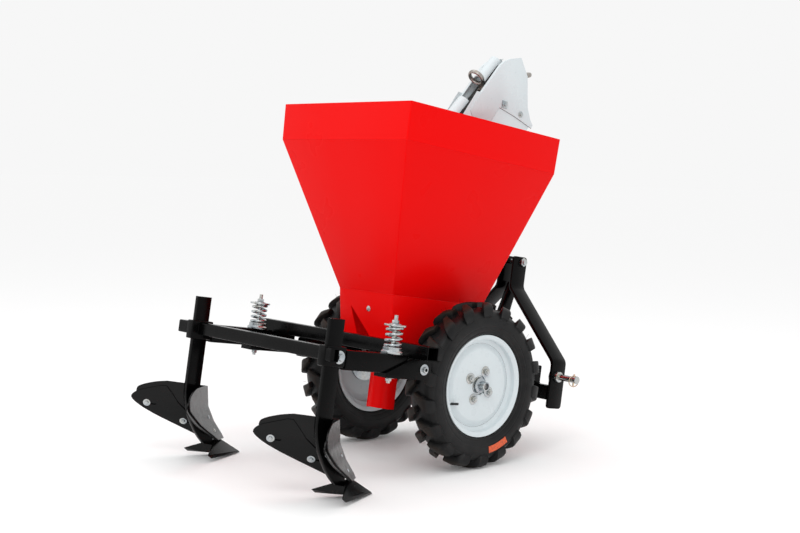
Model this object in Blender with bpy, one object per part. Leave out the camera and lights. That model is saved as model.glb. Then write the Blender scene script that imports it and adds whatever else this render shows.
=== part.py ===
"""Single-row potato planter for a small tractor: two driven wheels, a sheet hopper, a cup
elevator and a sprung rear frame with two ridging bodies. +X travel, +Y left, +Z up, metres."""

import math

import bmesh
import bpy
from mathutils import Matrix, Vector

NAME = "potato_planter"

# Driving dimensions, metres. Upright machine axes: x=0 on the axle, z=0 under the wheels.
WHEEL_R = 0.272
TRACK_HALF = 0.2693
LEAN_DEG = 8.25  # resting on wheels and shares, the machine leans forward
AXLE_X = 0.1542
GAP = 0.0003
AXLE_R = 0.011
HOP_REAR, HOP_FRONT, HOP_HALF = -0.4755, 0.2135, 0.3175
HOP_TOP, HOP_FOLD, HOP_LOW = 1.120, 1.001, 0.530
LOW_REAR, LOW_FRONT, LOW_HALF = -0.287, 0.130, 0.136
SHEET = 0.0020
TUBE_WALL = 0.003
BEAM_HALF = 0.43
BEAM_X0, BEAM_X1, BEAM_Z0, BEAM_Z1 = -0.3825, -0.3375, 0.347, 0.390
RAIL_Y0, RAIL_Y1, RAIL_Z0, RAIL_Z1 = 0.160, 0.200, 0.2853, 0.3467
ARM_Y, ARM_HALF = 0.345, 0.020
PIVOT_X, PIVOT_Z, PIVOT_R = -0.335, 0.316, 0.008
SPRING_X = -0.450
SHANK_X0, SHANK_X1, SHANK_T = -0.706, -0.654, 0.018
LEG_Y, LEG_T = 0.276, 0.010
P_LOW = (-0.130, 0.410, 0.045)
P_IDLE = (-0.001, 1.059, 0.030)
P_HEAD = (0.235, 1.345, 0.040)
BELT_T = 0.005
PITCH_N = 11
CHAIN_Y = 0.142
T_AXLE, T_LOW = 14, 14
CHAIN_PITCH = 0.0254

for old in list(bpy.data.objects):
    bpy.data.objects.remove(old)

parts = bpy.data.collections.new(NAME)
bpy.context.scene.collection.children.link(parts)
cutters = bpy.data.collections.new(NAME + "_cutters")
bpy.context.scene.collection.children.link(cutters)

root = bpy.data.objects.new("lean", None)
root.location = (AXLE_X, 0.0, WHEEL_R)
root.rotation_euler = (0.0, math.radians(LEAN_DEG), 0.0)
parts.objects.link(root)
LIFT = Vector((0.0, 0.0, -WHEEL_R))

COLOURS = {
    "red_paint": (0.80, 0.012, 0.015, 0.0, 0.30),
    "black_paint": (0.012, 0.012, 0.013, 0.0, 0.35),
    "white_paint": (0.78, 0.82, 0.83, 0.0, 0.30),
    "zinc": (0.62, 0.64, 0.64, 1.0, 0.30),
    "steel": (0.45, 0.45, 0.46, 1.0, 0.35),
    "alloy": (0.55, 0.56, 0.57, 1.0, 0.40),
    "tyre": (0.030, 0.028, 0.027, 0.0, 0.85),
    "belt": (0.020, 0.020, 0.020, 0.0, 0.70),
}


def material(node, kind):
    r, g, b, metal, rough = COLOURS[kind]
    mat = bpy.data.materials.new("mat_" + node)
    mat.use_nodes = True
    shader = mat.node_tree.nodes["Principled BSDF"]
    shader.inputs["Base Color"].default_value = (r, g, b, 1.0)
    shader.inputs["Metallic"].default_value = metal
    shader.inputs["Roughness"].default_value = rough
    return mat


def add(name, bm, kind=None, origin=(0.0, 0.0, 0.0)):
    """Turns a bmesh into an object whose origin sits at the given machine point."""
    bmesh.ops.remove_doubles(bm, verts=bm.verts, dist=1e-6)
    bmesh.ops.recalc_face_normals(bm, faces=bm.faces)
    start = Vector(origin)
    bmesh.ops.translate(bm, verts=bm.verts, vec=-start)
    mesh = bpy.data.meshes.new(name)
    bm.to_mesh(mesh)
    bm.free()
    obj = bpy.data.objects.new(name, mesh)
    obj.location = start + LIFT
    obj.parent = root
    if kind is None:
        cutters.objects.link(obj)
        obj.hide_render = True
        obj.display_type = "WIRE"
    else:
        parts.objects.link(obj)
        mesh.materials.append(material(name, kind))
    return obj


def boolean(obj, tool, how):
    mod = obj.modifiers.new(how.lower() + "_" + tool.name, "BOOLEAN")
    mod.object = tool
    mod.operation = how
    mod.solver = "EXACT"


def box(bm, x0, x1, y0, y1, z0, z1):
    made = bmesh.ops.create_cube(bm, size=1.0)["verts"]
    bmesh.ops.scale(bm, verts=made, vec=(x1 - x0, y1 - y0, z1 - z0))
    bmesh.ops.translate(
        bm, verts=made, vec=((x0 + x1) / 2, (y0 + y1) / 2, (z0 + z1) / 2)
    )
    return made


def soften(bm, width, sides=1):
    sharp = [e for e in bm.edges if e.calc_face_angle(0.0) > math.radians(40)]
    bmesh.ops.bevel(bm, geom=sharp, offset=width, segments=sides, affect="EDGES")


def prism(bm, points, y0, y1):
    """Extrudes an outline in the XZ plane from y0 to y1."""
    near = [bm.verts.new((x, y0, z)) for x, z in points]
    face = bm.faces.new(near)
    grown = bmesh.ops.extrude_face_region(bm, geom=[face])["geom"]
    made = [v for v in grown if isinstance(v, bmesh.types.BMVert)]
    bmesh.ops.translate(bm, verts=made, vec=(0.0, y1 - y0, 0.0))
    return near + made


def rod(bm, a, b, radius, sides=16, radius2=None):
    """A solid cylinder or cone from point a to point b."""
    a, b = Vector(a), Vector(b)
    made = bmesh.ops.create_cone(
        bm,
        cap_ends=True,
        segments=sides,
        radius1=radius,
        radius2=radius if radius2 is None else radius2,
        depth=(b - a).length,
    )["verts"]
    turn = Vector((0, 0, 1)).rotation_difference(b - a).to_matrix().to_4x4()
    bmesh.ops.transform(bm, matrix=Matrix.Translation((a + b) / 2) @ turn, verts=made)
    return made


def lathe(bm, profile, centre, steps, axis=(0, 1, 0), closed=True):
    """Spins (radius, offset) points about the axis through the centre; offset runs along it."""
    axis = Vector(axis).normalized()
    side = axis.orthogonal().normalized()
    ring = [
        bm.verts.new(Vector(centre) + side * r + axis * o) for r, o in profile
    ]
    edges = [bm.edges.new((ring[i], ring[i + 1])) for i in range(len(ring) - 1)]
    if closed:
        edges.append(bm.edges.new((ring[-1], ring[0])))
    bmesh.ops.spin(
        bm,
        geom=ring + edges,
        cent=Vector(centre),
        axis=axis,
        angle=2 * math.pi,
        steps=steps,
        use_merge=True,
    )


def union_with(obj, tag, build):
    bm = bmesh.new()
    build(bm)
    tool = add("join_" + obj.name + "_" + tag, bm)
    boolean(obj, tool, "UNION")


def cut_with(obj, tag, build):
    bm = bmesh.new()
    build(bm)
    tool = add("cut_" + obj.name + "_" + tag, bm)
    boolean(obj, tool, "DIFFERENCE")


def tube_length(sides):
    return 1.0 / math.cos(math.pi / sides)


# ---------------------------------------------------------------- main frame
def square_tube(name, x0, x1, y0, y1, z0, z1, along_x=False):
    """A square tube, open at its ends, running across the machine or along it."""
    b = bmesh.new()
    box(b, x0, x1, y0, y1, z0, z1)
    soften(b, 0.002)
    made = add(name, b, "black_paint")
    dx, dy = (-0.02, TUBE_WALL) if along_x else (TUBE_WALL, -0.02)
    cut_with(
        made,
        "inside",
        lambda c: box(
            c, x0 + dx, x1 - dx, y0 + dy, y1 - dy, z0 + TUBE_WALL, z1 - TUBE_WALL
        ),
    )
    return made


square_tube("rear_crossbeam", BEAM_X0, BEAM_X1, -BEAM_HALF, BEAM_HALF, BEAM_Z0, BEAM_Z1)

for side, tag in ((1, "left"), (-1, "right")):
    y0, y1 = sorted((side * RAIL_Y0, side * RAIL_Y1))
    square_tube("frame_rail_" + tag, BEAM_X0, 0.400, y0, y1, RAIL_Z0, RAIL_Z1, along_x=True)

    # Flanged axle bearing on the outer face of the rail.
    y_in, y_out = side * (RAIL_Y1 + GAP), side * (RAIL_Y1 + 0.0115)
    bm = bmesh.new()
    prism(
        bm,
        [
            (-0.050, 0.335), (-0.050, 0.305), (-0.026, 0.248), (-0.012, 0.240),
            (0.012, 0.240), (0.026, 0.248), (0.050, 0.305), (0.050, 0.335),
        ],
        min(y_in, y_out),
        max(y_in, y_out),
    )
    bearing = add("axle_bearing_" + tag, bm, "black_paint")
    union_with(
        bearing,
        "boss",
        lambda b, s=side, y=y_in: rod(
            b, (0, y + s * 0.004, WHEEL_R), (0, y + s * 0.021, WHEEL_R), 0.024, 20
        ),
    )
    cut_with(
        bearing,
        "bore",
        lambda b, s=side: rod(
            b,
            (0, s * 0.15, WHEEL_R),
            (0, s * 0.26, WHEEL_R),
            (AXLE_R + 0.00005) * tube_length(24),
            24,
        ),
    )

square_tube("front_crossbar", 0.360, 0.400, -0.2697, 0.2697, 0.235, 0.285)

# ---------------------------------------------------------------- three-point hitch
LEG_X0, LEG_X1 = 0.364, 0.434
for side, tag in ((1, "left"), (-1, "right")):
    bm = bmesh.new()
    outer = [
        (0.036, 0.722), (0.036, 0.612), (LEG_Y + 0.004, 0.372), (LEG_Y + 0.004, 0.206),
    ]
    inner = [(y - LEG_T, z) for y, z in outer]
    inner[1] = (inner[1][0], inner[1][1] - 0.007)
    inner[2] = (inner[2][0], inner[2][1] - 0.007)
    loop = outer + inner[::-1]
    near = [bm.verts.new((LEG_X0, side * y, z)) for y, z in loop]
    face = bm.faces.new(near)
    grown = bmesh.ops.extrude_face_region(bm, geom=[face])["geom"]
    made = [v for v in grown if isinstance(v, bmesh.types.BMVert)]
    bmesh.ops.translate(bm, verts=made, vec=(LEG_X1 - LEG_X0, 0, 0))
    bmesh.ops.recalc_face_normals(bm, faces=bm.faces)
    soften(bm, 0.0015)
    leg = add("hitch_leg_" + tag, bm, "black_paint")
    cut_with(
        leg,
        "top",
        lambda b: rod(b, (0.410, -0.1, 0.703), (0.410, 0.1, 0.703), 0.0098, 16),
    )
    cut_with(
        leg,
        "low",
        lambda b, s=side: rod(
            b, (0.392, s * 0.2, 0.318), (0.392, s * 0.35, 0.318), 0.0113, 16
        ),
    )
    # Lower link pin: collar against the plate, turned shank, drilled end with a ring clip.
    y = side * (LEG_Y + 0.004)
    bm = bmesh.new()
    rod(bm, (0.392, y - side * 0.026, 0.318), (0.392, y + side * 0.090, 0.318), 0.0108, 16)
    pin = add("lower_link_pin_" + tag, bm, "zinc")
    union_with(
        pin,
        "collar",
        lambda b, s=side, y=y: rod(
            b, (0.392, y + s * GAP, 0.318), (0.392, y + s * 0.0145, 0.318), 0.0185, 16
        ),
    )
    union_with(
        pin,
        "nut",
        lambda b, s=side, y=y: rod(
            b,
            (0.392, y - s * (LEG_T + GAP), 0.318),
            (0.392, y - s * (LEG_T + 0.0135), 0.318),
            0.0175,
            6,
        ),
    )
    union_with(
        pin,
        "end",
        lambda b, s=side, y=y: rod(
            b, (0.392, y + s * 0.088, 0.318), (0.392, y + s * 0.094, 0.318), 0.0135, 16
        ),
    )
    cut_with(
        pin,
        "hole",
        lambda b, s=side, y=y: rod(
            b, (0.392, y + s * 0.078, 0.29), (0.392, y + s * 0.078, 0.35), 0.0034, 10
        ),
    )
    # Clip: a peg through the pin carrying a closed spring ring.
    yc = y + side * 0.078
    bm = bmesh.new()
    rod(bm, (0.392, yc, 0.296), (0.392, yc, 0.338), 0.0030, 10)
    clip = add("pin_clip_" + tag, bm, "zinc")
    union_with(
        clip,
        "ring",
        lambda b, yc=yc: lathe(
            b,
            [
                (0.0185 + 0.0016 * math.cos(a), 0.0016 * math.sin(a))
                for a in [k * math.pi / 2 for k in range(4)]
            ],
            (0.392, yc, 0.318),
            18,
            axis=(0.35, 1, 0.0),
        ),
    )

bm = bmesh.new()
rod(bm, (0.410, -0.052, 0.703), (0.410, 0.052, 0.703), 0.0095, 16)
pin = add("top_link_bolt", bm, "zinc")
for s, t in ((-1, "head"), (1, "nut")):
    union_with(
        pin,
        t,
        lambda b, s=s: rod(
            b, (0.410, s * (0.036 + GAP), 0.703), (0.410, s * 0.048, 0.703), 0.0165, 6
        ),
    )

# Flat stay from the mast bend down to the front of the frame.
bm = bmesh.new()
prism(
    bm,
    [
        (0.395, 0.628), (0.425, 0.628), (0.425, 0.600), (0.365, 0.3475),
        (0.300, 0.3475), (0.300, 0.356),
    ],
    -0.010,
    0.010,
)
soften(bm, 0.0015)
add("mast_stay", bm, "black_paint")
square_tube("mast_crossbar", 0.305, 0.345, -RAIL_Y0 + GAP, RAIL_Y0 - GAP, 0.3068, 0.3467)

# ---------------------------------------------------------------- float pivots and springs
for side, tag in ((1, "left"), (-1, "right")):
    yc = side * ARM_Y
    outline = [
        (-0.3840, BEAM_Z0 - GAP), (-0.4860, 0.2985), (-0.4860, 0.2835),
        (-0.3120, 0.2835), (-0.3060, 0.2900), (-0.3060, BEAM_Z0 - GAP),
    ]
    bm = bmesh.new()
    prism(bm, outline, yc - ARM_HALF - 0.0085, yc + ARM_HALF + 0.0085)
    bracket = add("pivot_bracket_" + tag, bm, "black_paint")
    cut_with(
        bracket,
        "slot",
        lambda b, y=yc: box(
            b, -0.60, -0.20, y - ARM_HALF - GAP, y + ARM_HALF + GAP, 0.2965, 0.40
        ),
    )
    cut_with(
        bracket,
        "holes",
        lambda b, y=yc: rod(
            b, (PIVOT_X, y - 0.05, PIVOT_Z), (PIVOT_X, y + 0.05, PIVOT_Z), 0.0082, 16
        ),
    )
    cut_with(
        bracket,
        "rod_hole",
        lambda b, y=yc: rod(b, (SPRING_X, y, 0.27), (SPRING_X, y, 0.31), 0.0064, 12),
    )
    bm = bmesh.new()
    rod(bm, (PIVOT_X, yc - 0.040, PIVOT_Z), (PIVOT_X, yc + 0.040, PIVOT_Z), PIVOT_R, 24)
    bolt = add("pivot_bolt_" + tag, bm, "zinc", (PIVOT_X, yc, PIVOT_Z))
    for s, t in ((-1, "head"), (1, "nut")):
        union_with(
            bolt,
            t,
            lambda b, s=s, y=yc: rod(
                b,
                (PIVOT_X, y + s * (ARM_HALF + 0.0085 + GAP), PIVOT_Z),
                (PIVOT_X, y + s * (ARM_HALF + 0.0185), PIVOT_Z),
                0.0145,
                6,
            ),
        )
    # Spring rod with its fixed top plate, lock nut and the nut under the bracket.
    bm = bmesh.new()
    rod(bm, (SPRING_X, yc, 0.262), (SPRING_X, yc, 0.472), 0.0060, 12)
    rod_obj = add("spring_rod_" + tag, bm, "zinc")
    union_with(
        rod_obj,
        "plate",
        lambda b, y=yc: rod(b, (SPRING_X, y, 0.4380), (SPRING_X, y, 0.4460), 0.0340, 20),
    )
    union_with(
        rod_obj,
        "top",
        lambda b, y=yc: rod(b, (SPRING_X, y, 0.4450), (SPRING_X, y, 0.4570), 0.0110, 6),
    )
    union_with(
        rod_obj,
        "low",
        lambda b, y=yc: rod(b, (SPRING_X, y, 0.2700), (SPRING_X, y, 0.2832), 0.0115, 6),
    )
    # Open coil spring, one closed tube.
    bm = bmesh.new()
    turns, per, wire, mean = 4.25, 10, 0.0036, 0.0235
    z0, z1 = 0.3755 + wire, 0.4377 - wire
    count = int(turns * per)
    rings = []
    for k in range(count + 1):
        t = k / count
        a = 2 * math.pi * turns * t
        ease = min(max((t * turns - 0.5) / (turns - 1.0), 0.0), 1.0)
        mid = Vector((SPRING_X + mean * math.cos(a), yc + mean * math.sin(a), z0 + (z1 - z0) * ease))
        out = Vector((math.cos(a), math.sin(a), 0))
        rings.append(
            [
                bm.verts.new(mid + out * wire * math.cos(b) + Vector((0, 0, wire * math.sin(b))))
                for b in [j * math.pi / 2.5 for j in range(5)]
            ]
        )
    for r0, r1 in zip(rings, rings[1:]):
        for j in range(5):
            bm.faces.new((r0[j], r0[(j + 1) % 5], r1[(j + 1) % 5], r1[j]))
    bm.faces.new(rings[0][::-1])
    bm.faces.new(rings[-1])
    add("float_spring_" + tag, bm, "zinc")

# ---------------------------------------------------------------- hopper
def shell(bm, outer_levels, inset):
    """A four-sided wall from stacked (x0, x1, half width, z) levels, open at both ends."""
    loops = []
    for grow in (0.0, -inset):
        for x0, x1, h, z in outer_levels if grow == 0.0 else outer_levels[::-1]:
            x0, x1, h = x0 - grow, x1 + grow, h + grow
            loops.append(
                [
                    bm.verts.new(p)
                    for p in ((x0, -h, z), (x1, -h, z), (x1, h, z), (x0, h, z))
                ]
            )
    loops.append(loops[0])
    for a, b in zip(loops, loops[1:]):
        for j in range(4):
            bm.faces.new((a[j], a[(j + 1) % 4], b[(j + 1) % 4], b[j]))


FLARE = 0.0035
bm = bmesh.new()
shell(
    bm,
    [
        (HOP_REAR + FLARE, HOP_FRONT - FLARE, HOP_HALF - FLARE, HOP_FOLD),
        (HOP_REAR, HOP_FRONT, HOP_HALF, HOP_TOP),
    ],
    SHEET,
)
collar = add("hopper_collar", bm, "red_paint")
cut_with(collar, "notch", lambda b: box(b, 0.15, 0.30, -0.0525, 0.0525, 0.90, 1.20))

bm = bmesh.new()
shell(
    bm,
    [
        (LOW_REAR, LOW_FRONT, LOW_HALF, HOP_LOW),
        (HOP_REAR + FLARE, HOP_FRONT - FLARE, HOP_HALF - FLARE, HOP_FOLD - GAP),
    ],
    SHEET,
)
funnel = add("hopper_funnel", bm, "red_paint")
cut_with(funnel, "notch", lambda b: box(b, 0.13, 0.30, -0.0525, 0.0525, 0.80, 1.10))

# Boot under the hopper: right and left sides, a rear face with one corner cut away, a front.
SUMP_Z = 0.3475
bm = bmesh.new()
shell(
    bm,
    [
        (-0.2600, 0.110, 0.1250, SUMP_Z),
        (LOW_REAR, LOW_FRONT, LOW_HALF, HOP_LOW - GAP),
    ],
    SHEET,
)
boot = add("hopper_boot", bm, "red_paint")


def corner(b):
    made = [
        b.verts.new((-0.40, y, z))
        for y, z in ((0.0752, 0.4786), (0.0323, 0.3600), (-0.0500, 0.3600))
    ]
    face = b.faces.new(made)
    grown = bmesh.ops.extrude_face_region(b, geom=[face])["geom"]
    moved = [v for v in grown if isinstance(v, bmesh.types.BMVert)]
    bmesh.ops.translate(b, verts=moved, vec=(0.20, 0, 0))


cut_with(boot, "corner", corner)
cut_with(
    boot,
    "shaft",
    lambda b: rod(b, (P_LOW[0], 0.10, P_LOW[1]), (P_LOW[0], 0.16, P_LOW[1]), 0.0140, 16),
)

# ---------------------------------------------------------------- cup elevator
def hull_path(circles, extra):
    """Points of an open belt drawn tight around circles given in clockwise order."""
    points = []
    n = len(circles)
    tangents = []
    for i in range(n):
        x0, z0, r0 = circles[i]
        x1, z1, r1 = circles[(i + 1) % n]
        r0, r1 = r0 + extra, r1 + extra
        dx, dz = x1 - x0, z1 - z0
        dist = math.hypot(dx, dz)
        base = math.atan2(dz, dx)
        a = base + math.acos((r0 - r1) / dist)
        tangents.append(a)
    for i in range(n):
        x, z, r = circles[i]
        a_in, a_out = tangents[i - 1], tangents[i]
        sweep = (a_in - a_out) % (2 * math.pi)
        steps = max(2, int(round(sweep / math.radians(16))))
        for k in range(steps + 1):
            a = a_in - sweep * k / steps
            points.append((x + (r + extra) * math.cos(a), z + (r + extra) * math.sin(a)))
    return points


LOOP = [P_LOW, P_IDLE, P_HEAD]
BELT_IN = 0.0009  # clears the pulley rims where the belt is drawn in short chords
inner_path = hull_path(LOOP, BELT_IN)
outer_path = hull_path(LOOP, BELT_IN + BELT_T)
bm = bmesh.new()
rows = []
for y in (-0.034, 0.034):
    rows.append([bm.verts.new((x, y, z)) for x, z in outer_path])
    rows.append([bm.verts.new((x, y, z)) for x, z in inner_path])
n = len(outer_path)
for i in range(n):
    j = (i + 1) % n
    o0, i0, o1, i1 = rows
    bm.faces.new((o0[i], o0[j], o1[j], o1[i]))
    bm.faces.new((i0[i], i1[i], i1[j], i0[j]))
    bm.faces.new((o0[i], i0[i], i0[j], o0[j]))
    bm.faces.new((o1[i], o1[j], i1[j], i1[i]))
belt = add("cup_belt", bm, "belt")


def along(path, distance):
    """Point, direction and outward normal at a distance round the belt."""
    total = sum(
        math.dist(path[i], path[(i + 1) % len(path)]) for i in range(len(path))
    )
    distance %= total
    for i in range(len(path)):
        a, b = path[i], path[(i + 1) % len(path)]
        step = math.dist(a, b)
        if distance <= step:
            ux, uz = (b[0] - a[0]) / step, (b[1] - a[1]) / step
            return (a[0] + ux * distance, a[1] + uz * distance), (ux, uz), (-uz, ux)
        distance -= step


def belt_length(path):
    return sum(math.dist(path[i], path[(i + 1) % len(path)]) for i in range(len(path)))


def solid_along(b, distance, outline, half):
    """An outline in belt axes (along, out) given width across the belt."""
    (x, z), (ux, uz), (nx, nz) = along(outer_path, distance)
    prism(b, [(x + ux * u + nx * n, z + uz * u + nz * n) for u, n in outline], -half, half)


BRACKET = [
    (-0.0130, -0.0015), (0.0130, -0.0015), (0.0130, 0.0035), (0.0035, 0.0035),
    (0.0035, 0.0225), (-0.0035, 0.0225), (-0.0035, 0.0035), (-0.0130, 0.0035),
]


def ring_cup(b, distance):
    (x, z), (ux, uz), (nx, nz) = along(outer_path, distance)
    lathe(
        b,
        [(0.0310, -0.0080), (0.0315, 0.0080), (0.0225, 0.0060), (0.0185, -0.0060)],
        (x + nx * 0.0500, 0.0, z + nz * 0.0500),
        12,
        axis=(ux, 0, uz),
    )


TOTAL = belt_length(outer_path)


def from_first_cup(distance):
    """How far a cup carried at this distance lies from where the first one stands."""
    (x, z), _, (nx, nz) = along(outer_path, distance)
    return math.dist((x + nx * 0.05, z + nz * 0.05), (0.095, 1.316))


FIRST = min((TOTAL * k / 2000 for k in range(2000)), key=from_first_cup)
STATIONS = [FIRST + TOTAL * k / PITCH_N for k in range(PITCH_N)]
union_with(belt, "brackets", lambda b: [solid_along(b, d, BRACKET, 0.018) for d in STATIONS])
union_with(belt, "cups", lambda b: [ring_cup(b, d) for d in STATIONS])

for name, (x, z, r), half, bore in (
    ("belt_pulley_head", P_HEAD, 0.036, 0.0081),
    ("belt_roller_idle", P_IDLE, 0.036, 0.0081),
):
    bm = bmesh.new()
    lathe(
        bm,
        [
            (bore * tube_length(24), -half), (r, -half), (r, half),
            (bore * tube_length(24), half),
        ],
        (x, 0, z),
        24,
    )
    add(name, bm, "alloy", (x, 0, z))
    bm = bmesh.new()
    rod(bm, (x, -0.0451, z), (x, 0.0451, z), 0.0080, 24)
    add(name.replace("belt_pulley", "pin").replace("belt_roller", "pin"), bm, "steel")


def sprocket(b, teeth, x, y, z, thick, phase):
    """Toothed disc as one outline; tips stay inside the chain loop."""
    pitch_r = CHAIN_PITCH / (2 * math.sin(math.pi / teeth))
    outline = []
    for k in range(teeth):
        for part, rad in ((0.0, 0.0045), (0.22, 0.0040), (0.40, -0.0060), (0.62, -0.0060)):
            a = phase + 2 * math.pi * (k + part) / teeth
            rr = pitch_r + rad - 0.0045
            outline.append((x + rr * math.cos(a), z + rr * math.sin(a)))
    prism(b, outline, y - thick / 2, y + thick / 2)


lx, lz, lr = P_LOW
bm = bmesh.new()
rod(bm, (lx, -0.0360, lz), (lx, 0.0360, lz), lr, 24)
pulley = add("belt_pulley_low", bm, "alloy", (lx, 0, lz))
union_with(
    pulley, "shaft", lambda b: rod(b, (lx, -0.062, lz), (lx, 0.1490, lz), 0.0100, 24)
)
union_with(
    pulley,
    "sprocket",
    lambda b: sprocket(b, T_LOW, lx, CHAIN_Y, lz, 0.006, 0.1),
)

# Side plates between the belt runs, then the head plates and the front of the descent.
for side, tag in ((1, "left"), (-1, "right")):
    y0, y1 = sorted((side * 0.0455, side * 0.0475))
    bm = bmesh.new()
    prism(
        bm,
        [
            (-0.185, 0.440), (-0.185, 0.375), (-0.150, 0.350), (-0.100, 0.350),
            (0.010, 0.420), (0.1500, 0.790), (0.3480, 1.205), (0.3180, 1.262),
            (0.060, 1.262), (-0.034, 1.100),
        ],
        y0,
        y1,
    )
    plate = add("elevator_side_" + tag, bm, "white_paint")
    cut_with(
        plate,
        "shaft",
        lambda b, s=side: rod(
            b, (lx, s * 0.02, lz), (lx, s * 0.07, lz), 0.01005 * tube_length(24), 24
        ),
    )
    y0, y1 = sorted((side * 0.0478, side * 0.0498))
    bm = bmesh.new()
    prism(
        bm,
        [
            (0.0390, 1.1890), (0.0420, 1.2030), (0.1570, 1.3720), (0.1780, 1.3910),
            (0.2040, 1.4040), (0.2560, 1.4190), (0.2990, 1.3610), (0.3240, 1.2310),
            (0.3570, 1.1960), (0.3520, 1.1830), (0.2650, 1.2080), (0.1760, 1.2270),
            (0.1400, 1.1700), (0.0520, 1.1700),
        ],
        y0,
        y1,
    )
    add("head_plate_" + tag, bm, "white_paint")

# ---------------------------------------------------------------- seed tube
bm = bmesh.new()
prof = []
for rad in (0.0550, 0.0525):
    ks = range(13) if rad == 0.0550 else range(12, -1, -1)
    for k in ks:
        a = math.radians(90 + 180 * k / 12)
        prof.append((-0.1455 + rad * math.cos(a), rad * math.sin(a)))
low = [bm.verts.new((x, y, 0.150 if y < 0 else 0.150 - 0.1 * y)) for x, y in prof]
high = [bm.verts.new((x, y, 0.2950)) for x, y in prof]
m = len(prof)
for k in range(m):
    bm.faces.new((low[k], low[(k + 1) % m], high[(k + 1) % m], high[k]))
bm.faces.new(low[::-1])
bm.faces.new(high)
add("seed_tube", bm, "red_paint")

# ---------------------------------------------------------------- wheel set
bm = bmesh.new()
rod(bm, (0, -0.3180, WHEEL_R), (0, 0.3180, WHEEL_R), AXLE_R, 24)
axle = add("axle", bm, "steel", (0, 0, WHEEL_R))
union_with(
    axle,
    "sprocket",
    lambda b: sprocket(b, T_AXLE, 0.0, CHAIN_Y, WHEEL_R, 0.006, 0.0),
)

RIM = [
    (0.0320, 0.0227), (0.1180, 0.0227), (0.1365, 0.0130), (0.1515, 0.0200),
    (0.1515, 0.0370), (0.1670, 0.0435), (0.1680, 0.0400), (0.1550, 0.0340),
    (0.1550, 0.0180), (0.1400, 0.0110), (0.1400, -0.0120), (0.1550, -0.0180),
    (0.1550, -0.0340), (0.1680, -0.0400), (0.1670, -0.0435), (0.1515, -0.0370),
    (0.1515, -0.0200), (0.1365, -0.0145), (0.1365, 0.0085), (0.1165, 0.0187),
    (0.0320, 0.0187),
]
TYRE = [
    (0.1553, 0.0335), (0.1684, 0.0394), (0.1710, 0.0450), (0.2000, 0.0538),
    (0.2250, 0.0540), (0.2480, 0.0450), (0.2600, 0.0150), (0.2600, -0.0150),
    (0.2480, -0.0450), (0.2250, -0.0540), (0.2000, -0.0538), (0.1710, -0.0450),
    (0.1684, -0.0394), (0.1553, -0.0335), (0.1553, -0.0200), (0.1640, -0.0240),
    (0.2050, -0.0450), (0.2380, -0.0360), (0.2470, -0.0120), (0.2470, 0.0120),
    (0.2380, 0.0360), (0.2050, 0.0450), (0.1640, 0.0240), (0.1553, 0.0200),
]
LUGS = 18


def lug(b, y_mid, a0, hand):
    """One chevron bar in the tread; hand is the half of the tread it covers."""
    # Offset, trailing angle, tip radius, half width, then the buried root's offset and radius.
    stations = (
        (0.0005, 0.000, 0.2720, 0.0080, 0.0005, 0.2530),
        (0.0330, 0.085, 0.2700, 0.0088, 0.0290, 0.2510),
        (0.0540, 0.145, 0.2560, 0.0090, 0.0420, 0.2430),
    )
    rows = []
    for o, da, top, half, o_root, r_root in stations:
        row = []
        for rad, off, sgn in (
            (r_root, o_root, -1.25), (top, o, -0.9), (top, o, 0.9), (r_root, o_root, 1.25)
        ):
            a = a0 - da + sgn * half / 0.265
            row.append(
                b.verts.new(
                    (rad * math.sin(a), y_mid + hand * off, WHEEL_R + rad * math.cos(a))
                )
            )
        rows.append(row)
    for r0, r1 in zip(rows, rows[1:]):
        for j in range(4):
            b.faces.new((r0[j], r0[(j + 1) % 4], r1[(j + 1) % 4], r1[j]))
    b.faces.new(rows[0][::-1])
    b.faces.new(rows[-1])


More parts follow.
